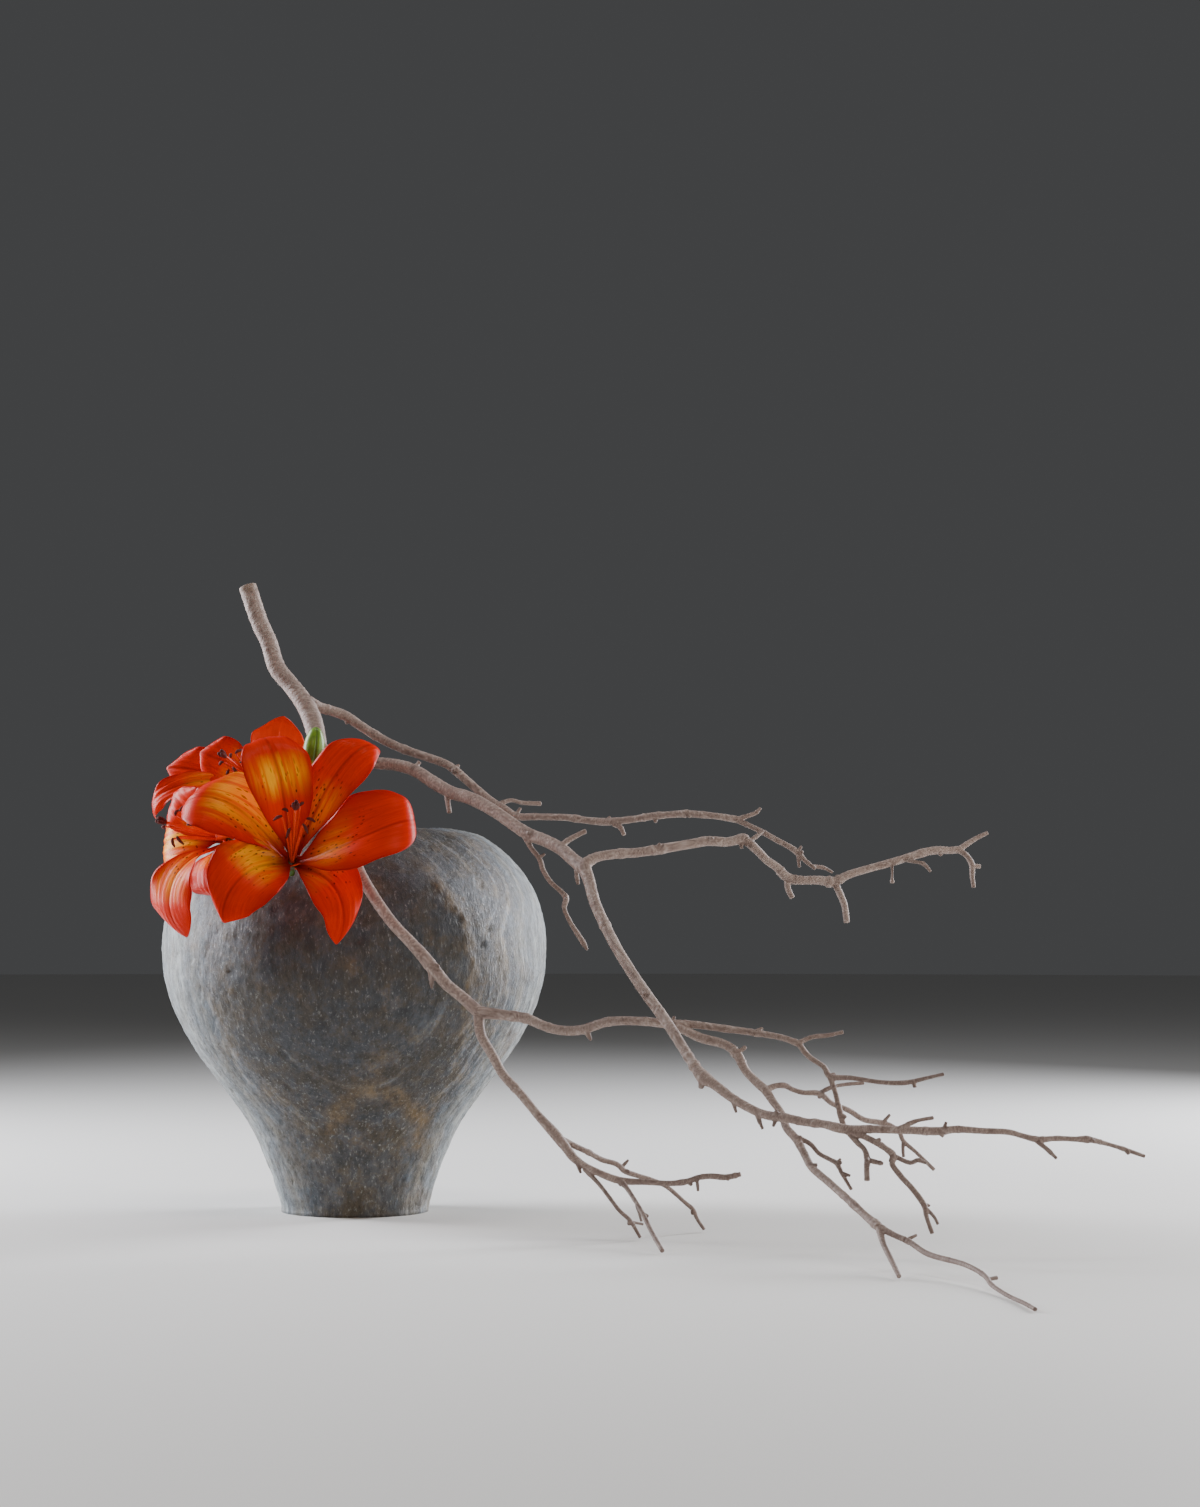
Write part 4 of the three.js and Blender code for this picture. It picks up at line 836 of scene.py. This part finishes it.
# the stem's greens are painted darker as shade
stem_green_painted_shade = waxy_green("waxy_stem_green_painted_shade", "#46621E", "#263C10", 3)[0]
pedicels = [
    [(*STEM_TOP, size), *[(*at, size) for at in route], *[(*bloom.at(along), size) for along in APPROACH]]
    for bloom, route, size in PEDICELS
]
stem, skin, heart = grow("lily_stem_green", [STEM, *pedicels], STEM_GRAIN, stem_green_painted_shade)
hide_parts("lily_stem")
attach(stem, "root")

# ---- The blooms -------------------------------------------------------------------------------
# Four open lilies of six tepals each, three broad inner ones and three narrower outer ones. They are
# thin, satin flesh: orange-red, redder at the edges, glowing yellow towards the throat with maroon
# spots there, grooved down the middle and rolled back at the tips. The yellow glow is partly the
# flesh's own yellow and partly painted light, and the groove carries painted shade.
TEPAL_ROWS = 46
TEPAL_HALF_COLUMNS = 14
MIDDLE_THICKNESS, EDGE_THICKNESS, CLAW_THICKENING = 0.8, 0.35, 1.4
# how far along and away from the axis the outer and the inner tepals start
OUTER_START, INNER_START = (2.6, 3.4), (4.4, 2.2)
CLAW_SHARE = 0.12
BEND_LAG = 1 / 14
ROLL_START = 0.6
# the frills of the edges: height, how close they keep to the edge, ripples, phase and skew
FRILLS = ((2.2, 3, 9, 1, 2), (0.8, 4, 27, 2, 3))
GROOVE_DEPTH, GROOVE_WIDTH = 1.1, 1.7
RIB_HEIGHT, RIB_SPACING = 0.3, 4.2
KEEL_HEIGHT, KEEL_WIDTH = 0.25, 1.5
# the yellow glow, partly the flesh's own yellow and partly painted light: how it fades in and out along
# the tepal, its half width and its soft edge
GLOW_FADE_IN, GLOW_FADE_OUT, GLOW_HALF_WIDTH, GLOW_EDGE = 0.14, 0.16, 0.95, 0.7
PLAIN_YELLOW_AND_PAINTED_LIGHT = (0.5, 0.12, 0.6, 0.0)
# each tepal: its turn, length, width, lean and curl, then what else sets it apart. Every second one
# is an outer tepal.
FRONT_TEPALS = [
    (-16, 108, 45, 20, 165, dict(late=1.9, cup=0.3, hook=40, yellow_and_painted_light=(1.0, 0.42, 0.74, 0.0))),
    (33, 110, 36, 36, 165, dict(late=3, sway=10, hook=40, yellow_and_painted_light=(0.5, 0.12, 0.58, 0.0))),
    (106, 104, 60, 44, 165, dict(
        late=3.2, cup=0.3, roll=0.05, sway=-24, belly=1.3, hook=90, yellow_and_painted_light=(0.4, 0.08, 0.5, 0.0)
    )),
    (131, 77, 38, 54, 150, dict(late=1.5, sway=26, belly=1.15, hook=30, yellow_and_painted_light=(0.5, 0.08, 0.5, 0.0))),
    (237, 82, 54, 48, 150, dict(late=1.7, sway=-17, belly=1.15, hook=30, yellow_and_painted_light=(1.0, 0.04, 0.6, 0.25))),
    (-54, 96, 54, 44, 170, dict(late=2, sway=-12, hook=40, yellow_and_painted_light=(1.0, 0.1, 0.8, 0.3))),
]
LEFT_TEPALS = [
    (-6, 42, 28, 24, 90, {}),
    (-54, 56, 34, 36, 130, {}),
    (-96, 70, 46, 46, 165, dict(late=1.4, yellow_and_painted_light=(0.8, 0.15, 0.85, 0.0))),
    (190, 94, 44, 23, 165, dict(late=1.5, sway=-14, belly=1.9, yellow_and_painted_light=(0.5, 0.15, 0.75, 0.0))),
    (152, 55, 44, 40, 130, {}),
    (66, 58, 26, 26, 50, {}),
]
UPPER_TEPALS = [
    (-70, 50, 36, 24, 120, {}),
    (4, 31, 24, 30, 80, {}),
    (90, 40, 24, 26, 40, {}),
    (160, 42, 22, 34, 44, {}),
    (-108, 92, 19, 36, 150, dict(late=1.8, sway=-12, hook=60)),
    (-88, 68, 33, 46, 110, {}),
]
BACK_TEPALS = [
    (-5, 72, 43, 14, 130, dict(late=2.6, belly=1.8, hook=60)),
    (60, 52, 28, 26, 100, {}),
    (120, 64, 32, 14, 80, {}),
    (180, 60, 28, 26, 70, {}),
    (240, 60, 32, 14, 70, {}),
    (300, 60, 28, 26, 90, {}),
]


def blade_faces(rows, columns):
    """The faces of a thin closed blade: its inner side, its outer side, and the edge round them."""
    below = rows * columns
    starts = [row * columns + column for row in range(rows - 1) for column in range(columns - 1)]
    inner = [(a, a + 1, a + 1 + columns, a + columns) for a in starts]
    outer = [tuple(below + corner for corner in reversed(face)) for face in inner]
    edge = [*range(columns), *range(2 * columns - 1, below, columns)]
    edge += [*range(below - 2, below - columns - 1, -1), *range(below - 2 * columns, 0, -columns)]
    return inner + outer + [(b, a, below + a, below + b) for a, b in zip(edge, edge[1:] + edge[:1])]


def tepal(
    bloom, outer, turn, length, width, lean, curl, late=1.8, cup=0.2, roll=0.16, sway=0.0, belly=1.45,
    hook=0, yellow_and_painted_light=PLAIN_YELLOW_AND_PAINTED_LIGHT,
):
    """One tepal as a thin closed blade: its points, its faces and what its colours follow.

    It leaves the base at a narrow claw, widens past its middle and ends in a blunt point. It leans
    from the axis by lean at the claw and by curl at the tip, in degrees, and its last part rolls back
    by hook more. Its yellow glow, partly the flesh's own yellow and partly painted light, has a
    strength, a start, an end and a lean. The colours follow its place along and across, its face, 1 on
    the inner side and 0 on the outer, and the glow.
    """
    along, away = OUTER_START if outer else INNER_START
    across = np.linspace(-1, 1, 2 * TEPAL_HALF_COLUMNS + 1)
    inner, under, places = [], [], []

    def leaning(t):
        tip_roll = hook * max(0, (t - ROLL_START) / (1 - ROLL_START)) ** 2
        return math.radians(lean + (curl - lean) * t**late + tip_roll)

    for row in range(TEPAL_ROWS + 1):
        t = row / TEPAL_ROWS
        bend = leaning(t)
        heading = math.radians(turn + sway * t * t)
        middle = bloom.at(along, away, heading)
        outward = bloom.outward(heading)
        out = bloom.axis * math.cos(bend) + outward * math.sin(bend)
        inward = bloom.axis * math.sin(bend) - outward * math.cos(bend)
        side = np.cross(out, inward)
        swell = max(math.sin(math.pi * min(t, 0.995) ** belly), 0) ** (0.9 if t < 0.62 else 0.7)
        claw = max(0, 1 - t / CLAW_SHARE)
        half = width / 2 * max(swell, 0.1 * (1 - t) + 0.02) * (1 + 0.02 * math.sin(17 * t + turn))
        hollow = cup * (1 - t) - roll * t * t
        millimetres = half * across
        rise = 2 * half * hollow * across**2
        for height, keep, ripples, phase, skew in FRILLS:
            frill = np.sin(ripples * t + phase * turn + skew * across)
            rise += height * np.abs(across) ** keep * frill * swell
        groove = np.exp(-((millimetres / GROOVE_WIDTH) ** 2))
        rise -= GROOVE_DEPTH * groove * min(1, 3 * (1 - t)) * min(1, 6 * t)
        ribs = np.cos(millimetres * 2 * math.pi / RIB_SPACING + 2 * math.sin(5 * t + turn))
        rise += RIB_HEIGHT * ribs * swell * (1 - across**2)
        blade = middle + np.outer(millimetres, side) + np.outer(rise, inward)
        fullness = (MIDDLE_THICKNESS - EDGE_THICKNESS) * (1 - np.abs(across) ** 3)
        thickness = (EDGE_THICKNESS + fullness + CLAW_THICKENING * claw) / 2
        keel = KEEL_HEIGHT * np.exp(-((millimetres / KEEL_WIDTH) ** 2))
        inner.append(blade + np.outer(thickness, inward))
        under.append(blade - np.outer(thickness + keel, inward))
        # the yellow glow, partly painted light, by its strength, start, end and lean across
        strength, first, last, lean_across = yellow_and_painted_light
        fade = np.clip((t - first) / GLOW_FADE_IN, 0, 1) * np.clip((last - t) / GLOW_FADE_OUT, 0, 1)
        beside = np.clip((GLOW_HALF_WIDTH - np.abs(across - lean_across)) / GLOW_EDGE, 0, 1)
        yellow = strength * fade * beside
        places.append(np.column_stack([np.full(len(across), t), across, millimetres, yellow]))
        step = length / TEPAL_ROWS
        lagged = leaning(max(t + 0.5 / TEPAL_ROWS - BEND_LAG, 0))
        away += step * math.sin(lagged)
        along += step * math.cos(lagged)
    inner_face = np.repeat([1.0, 0.0], len(inner) * len(across))
    places = np.column_stack([np.tile(np.vstack(places), (2, 1)), inner_face])
    return np.vstack(inner + under), blade_faces(len(inner), len(across)), places


def lily_flesh():
    """Lily tepal: satin orange-red flesh, its fine ribs shining, with a yellow glow that is partly
    painted light, painted shade in its groove, and dark spots.
    """
    material, tree, shader = new_material(
        "orange_lily_flesh",
        Roughness=0.36,
        IOR=1.42,
        Specular_IOR_Level=0.12,
        Specular_Tint=linear("#FFA880"),
        Subsurface_Weight=0.04,
        Subsurface_Radius=(1.0, 0.2, 0.05),
        Subsurface_Scale=0.001,
    )
    guides = ("along", "across", "millimetres", "inner_face", "own_tone")
    t, across, wide, inside, own = (painted(tree, guide) for guide in guides)
    edge = calc(tree, "ABSOLUTE", across)
    middle = calc(tree, "ABSOLUTE", wide)

    def dots(along_it, across_it, randomness):
        """A pattern of cells, this many along the tepal and in each millimetre across it."""
        along = times(tree, t, along_it)
        place = packed(tree, times(tree, wide, across_it), along, own)
        links = [("Vector", place), ("Scale", 1), ("Randomness", randomness)]
        return add(tree, "ShaderNodeTexVoronoi", links).outputs

    # ribs about 1 mm apart, running the whole length
    ribbed = packed(tree, wide, times(tree, t, 5), own)
    rib = cloudy(tree, ribbed, 0.9, 3, 0.6)
    broad = cloudy(tree, ribbed, 0.28, 2)

    # red edges and tip round an orange middle
    redness = calc(tree, "POWER", edge, 4.0)
    redness = calc(tree, "MAXIMUM", redness, remap(tree, t, 0.55, 1.0, 0.0, 0.6))
    flesh = blend(tree, redness, "#E62C00", "#AA0A00")
    ribs = remap(tree, rib, 0.35, 0.65, 0.0, 0.5)
    flesh = blend(tree, ribs, flesh, "#B81400")

    # the yellow glow, in streaks along the ribs either side of the middle: partly the flesh's own
    # yellow and partly painted light
    streaked = remap(tree, broad, 0.38, 0.6, 0.35, 1.5)
    yellow_and_painted_light = calc(tree, "MULTIPLY", painted(tree, "yellow_and_painted_light"), streaked, use_clamp=True)
    yellow_and_painted_light = times(tree, yellow_and_painted_light, inside)
    flesh = blend(tree, yellow_and_painted_light, flesh, "#FFA800")

    # painted shade down the groove in the middle, and the deep red throat
    groove = times(tree, remap(tree, middle, 0.3, 1.4, 0.4, 0.0), inside)
    flesh = blend(tree, groove, flesh, "#7A0C00")
    throat = remap(tree, t, 0.04, 0.3, 0.85, 0.0)
    flesh = blend(tree, throat, flesh, "#8C1000")

    # maroon spots about 1 mm across and 3 mm apart over the lower half
    spots = dots(22, 0.42, 0.9)
    spot = remap(tree, spots["Distance"], 0.17, 0.27, 1.0, 0.0)
    chosen = add(tree, "ShaderNodeSeparateColor", [(0, spots["Color"])]).outputs[0]
    chosen = calc(tree, "GREATER_THAN", chosen, 0.45)
    near = remap(tree, t, 0.5, 0.66, 0.9, 0.0)
    inward = remap(tree, edge, 0.5, 0.85, 1.0, 0.0)
    for factor in (chosen, near, inward, inside):
        spot = times(tree, spot, factor)
    flesh = blend(tree, spot, flesh, "#4A0A04")

    # thin dark dashes along the ribs where the flesh glows
    dash = times(tree, remap(tree, dots(11, 0.62, 1)["Distance"], 0.16, 0.3, 0.75, 0.0), yellow_and_painted_light)
    flesh = blend(tree, dash, flesh, "#6A1400")

    # the outer side is paler
    outside = times(tree, calc(tree, "SUBTRACT", 1.0, inside), 0.55)
    flesh = blend(tree, outside, flesh, "#E84A14")
    wire(tree, shader, Base_Color=flesh, Normal=raised(tree, rib, 0.5, 0.0004))
    return material


def red_filament():
    """Filaments and style: smooth round flesh, orange-red and a little translucent."""
    material, tree, shader = new_material(
        "red_lily_filament", Roughness=0.35, IOR=1.42, Subsurface_Weight=0.15, Subsurface_Scale=0.001
    )
    place = add(tree, "ShaderNodeTexCoord").outputs["Object"]
    mottle = cloudy(tree, place, 180, 3)
    wire(tree, shader, Base_Color=blend(tree, mottle, "#B81404", "#E8501C"))
    return material


def maroon_pollen():
    """Anthers and stigma: a dry maroon dust of pollen grains, matt and nearly black in its folds."""
    material, tree, shader = new_material("maroon_pollen", Roughness=0.8, IOR=1.4)
    place = add(tree, "ShaderNodeTexCoord").outputs["Object"]
    grains = add(tree, "ShaderNodeTexVoronoi", [("Vector", place), ("Scale", 2600)]).outputs["Distance"]
    dust = blend(tree, grains, "#6E160A", "#300805")
    wire(tree, shader, Base_Color=dust, Normal=raised(tree, grains, 0.8, 0.0003))
    return material


def seat(piece, node):
    """The piece stands in for this node, whose CAD part it hides, and stays with the vase."""
    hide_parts(node)
    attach(piece, "root")


tepal_flesh, filament_red, pollen = lily_flesh(), red_filament(), maroon_pollen()
# the receptacles' greens are painted dark as shade in each bloom's throat
receptacle_green_painted_shade = waxy_green("waxy_receptacle_green_painted_shade", "#4A4418", "#2E220A", 2)[0]
FILAMENT_STEP, ANTHER_STEP, STYLE_STEP, LOBE_STEP = 3, 0.7, 4, 0.8
RECEPTACLE = [(0.2, 0), (3.4, 0), (5, 3), (4, 6), (0.2, 6.2)]
OVARY_SEGMENTS = 16
OVARY = [(0.1, 6.3), (1.8, 6.3), (1.9, 8), (1.3, 9.6), (0.1, 10)]
# a lobe of the stigma: how far past the stamens and away from the axis, and its diameter
LOBE = [(6, 0.4, 2.2), (10, 1.3, 3.2), (12.5, 1.6, 2.4)]


def turned_on(bloom, profile, segments=24):
    """A round piece on the bloom's axis, from its profile of (radius, height above the base)."""
    rings = turned_rings(np.asarray(profile, float), segments)
    placed = bloom.base + rings @ np.array([bloom.up, -bloom.right, bloom.axis])
    ends = [bloom.at(profile[0][1]), bloom.at(profile[-1][1])]
    return np.vstack([placed, ends]), ring_faces(len(profile), segments, len(placed), len(placed) + 1)


def stamens(bloom, length, spread):
    """Six filaments round the style, each with its anther, and the stigma on the style's end."""
    soft, dusty = [], []
    for index in range(6):
        heading = math.radians(60 * index + 25)
        reach = length * (0.9 if index % 2 else 0.98)
        away = reach * math.tan(math.radians(spread))
        thread = [
            (8.4, 1, 1.7), (reach * 0.5, away * 0.4, 1.5), (reach - 2, away - 1.2, 1.1),
            (reach, away, 0.8),
        ]
        sac = [
            (reach, away - 1, 1.2), (reach, away + 0.4, 2), (reach - 1.5, away + 2.6, 2.2),
            (reach - 4, away + 4.6, 1.2),
        ]
        for stations, step, group in ((thread, FILAMENT_STEP, soft), (sac, ANTHER_STEP, dusty)):
            route = [(*bloom.at(along, out, heading), size) for along, out, size in stations]
            group.append(tube(smooth_path(route, step)))
    stations = ((7, 2.2), (length * 0.5, 1.9), (length + 7, 2.2))
    soft.append(tube(smooth_path([(*bloom.at(along), size) for along, size in stations], STYLE_STEP)))
    soft.append(turned_on(bloom, OVARY, OVARY_SEGMENTS))
    for lobe in range(3):
        heading = math.radians(120 * lobe + 10)
        head = [(*bloom.at(length + past, out, heading), size) for past, out, size in LOBE]
        dusty.append(tube(smooth_path(head, LOBE_STEP)))
    return soft, dusty


# each bloom's tepals, and how long its stamens are and how many degrees they spread
BLOOMS = (
    ("front", FRONT, FRONT_TEPALS, (60, 9)),
    ("left", LEFT, LEFT_TEPALS, (52, 12)),
    ("upper", UPPER, UPPER_TEPALS, (44, 9)),
    ("back", BACK, BACK_TEPALS, (46, 7)),
)
for name, bloom, shapes, (length, spread) in BLOOMS:
    blades = [tepal(bloom, index % 2, *sizes, **more) for index, (*sizes, more) in enumerate(shapes)]
    tepals = new_object(f"{name}_bloom_tepals", *gather([blade[:2] for blade in blades]), tepal_flesh)
    places = np.vstack([blade[2] for blade in blades])
    for column, colour_guide in enumerate(("along", "across", "millimetres", "yellow_and_painted_light", "inner_face")):
        paint(tepals, colour_guide, places[:, column])
    own = [np.full(len(blade[0]), 3.7 * index + len(name)) for index, blade in enumerate(blades)]
    paint(tepals, "own_tone", np.concatenate(own))
    seat(tepals, f"{name}_tepals")
    receptacle = new_object(f"{name}_bloom_receptacle", *turned_on(bloom, RECEPTACLE), receptacle_green_painted_shade)
    seat(receptacle, f"{name}_tepals")
    soft, dusty = stamens(bloom, length, spread)
    for kind, parts, material in (("filaments", soft, filament_red), ("anthers", dusty, pollen)):
        piece = new_object(f"{name}_bloom_{kind}", *gather(parts), material)
        seat(piece, f"{name}_stamens")

# ---- The bud ----------------------------------------------------------------------------------
# One closed bud on its short pedicel. Three waxy green outer tepals meet at sunk seams, and it is
# yellow-green at its base, with painted shade darkening it to olive just above.
BUD_HEIGHT = 30
BUD_PROFILE = [
    (0.2, 0), (3, 0.4), (4.6, 2.5), (6, 6), (7.2, 14), (6.6, 21), (3.6, 28), (1.2, 29.8),
    (0.1, BUD_HEIGHT),
]
BUD_SEGMENTS = 72
BUD_STEP = 0.6
SEAM_HALF_WIDTH, SEAM_DEPTH, SEAM_TURN = 0.8, 0.11, 0.55
bud_path = smooth_path(BUD_PROFILE, BUD_STEP)
turns = np.tile(ring_turns(BUD_SEGMENTS), len(bud_path))
radius, height = np.repeat(bud_path, BUD_SEGMENTS, axis=0).T
seam = np.abs((turns / (2 * math.pi) * 3 + SEAM_TURN) % 1 - 0.5) * 2 * math.pi / 3
seam_depth = np.exp(-((seam * radius / SEAM_HALF_WIDTH) ** 2))
radius = radius * (1 - SEAM_DEPTH * seam_depth + 0.02 * np.cos(3 * turns) * height / BUD_HEIGHT)
bud_points = np.column_stack([radius * np.cos(turns), radius * np.sin(turns), height])
bud_points = BUD.base + bud_points @ np.array([BUD.up, -BUD.right, BUD.axis])
bud_ends = [BUD.at(0), BUD.at(BUD_HEIGHT)]
bud_green, tree, shader, skin_colour = waxy_green("waxy_bud_green", "#7FA822", "#3E5E0E", 4)
rise = painted(tree, "height")
seamed = painted(tree, "seam")
# painted shade: darker olive from 17 mm down to 9 mm above the base
with_lower_shade = blend(tree, remap(tree, rise, 17, 9, 0.0, 0.75), skin_colour, "#3F4A0A")
yellow = blend(tree, remap(tree, rise, 7, 3, 0.0, 0.85), with_lower_shade, "#C9AE20")
wire(tree, shader, Base_Color=blend(tree, seamed, yellow, "#243C08"))
bud_faces = ring_faces(len(bud_path), BUD_SEGMENTS, len(bud_points), len(bud_points) + 1)
bud = new_object("lily_bud_green", np.vstack([bud_points, bud_ends]), bud_faces, bud_green)
paint(bud, "height", np.append(height, [0, BUD_HEIGHT]))
paint(bud, "seam", np.append(0.6 * seam_depth, [0, 0]))
seat(bud, "lily_bud")
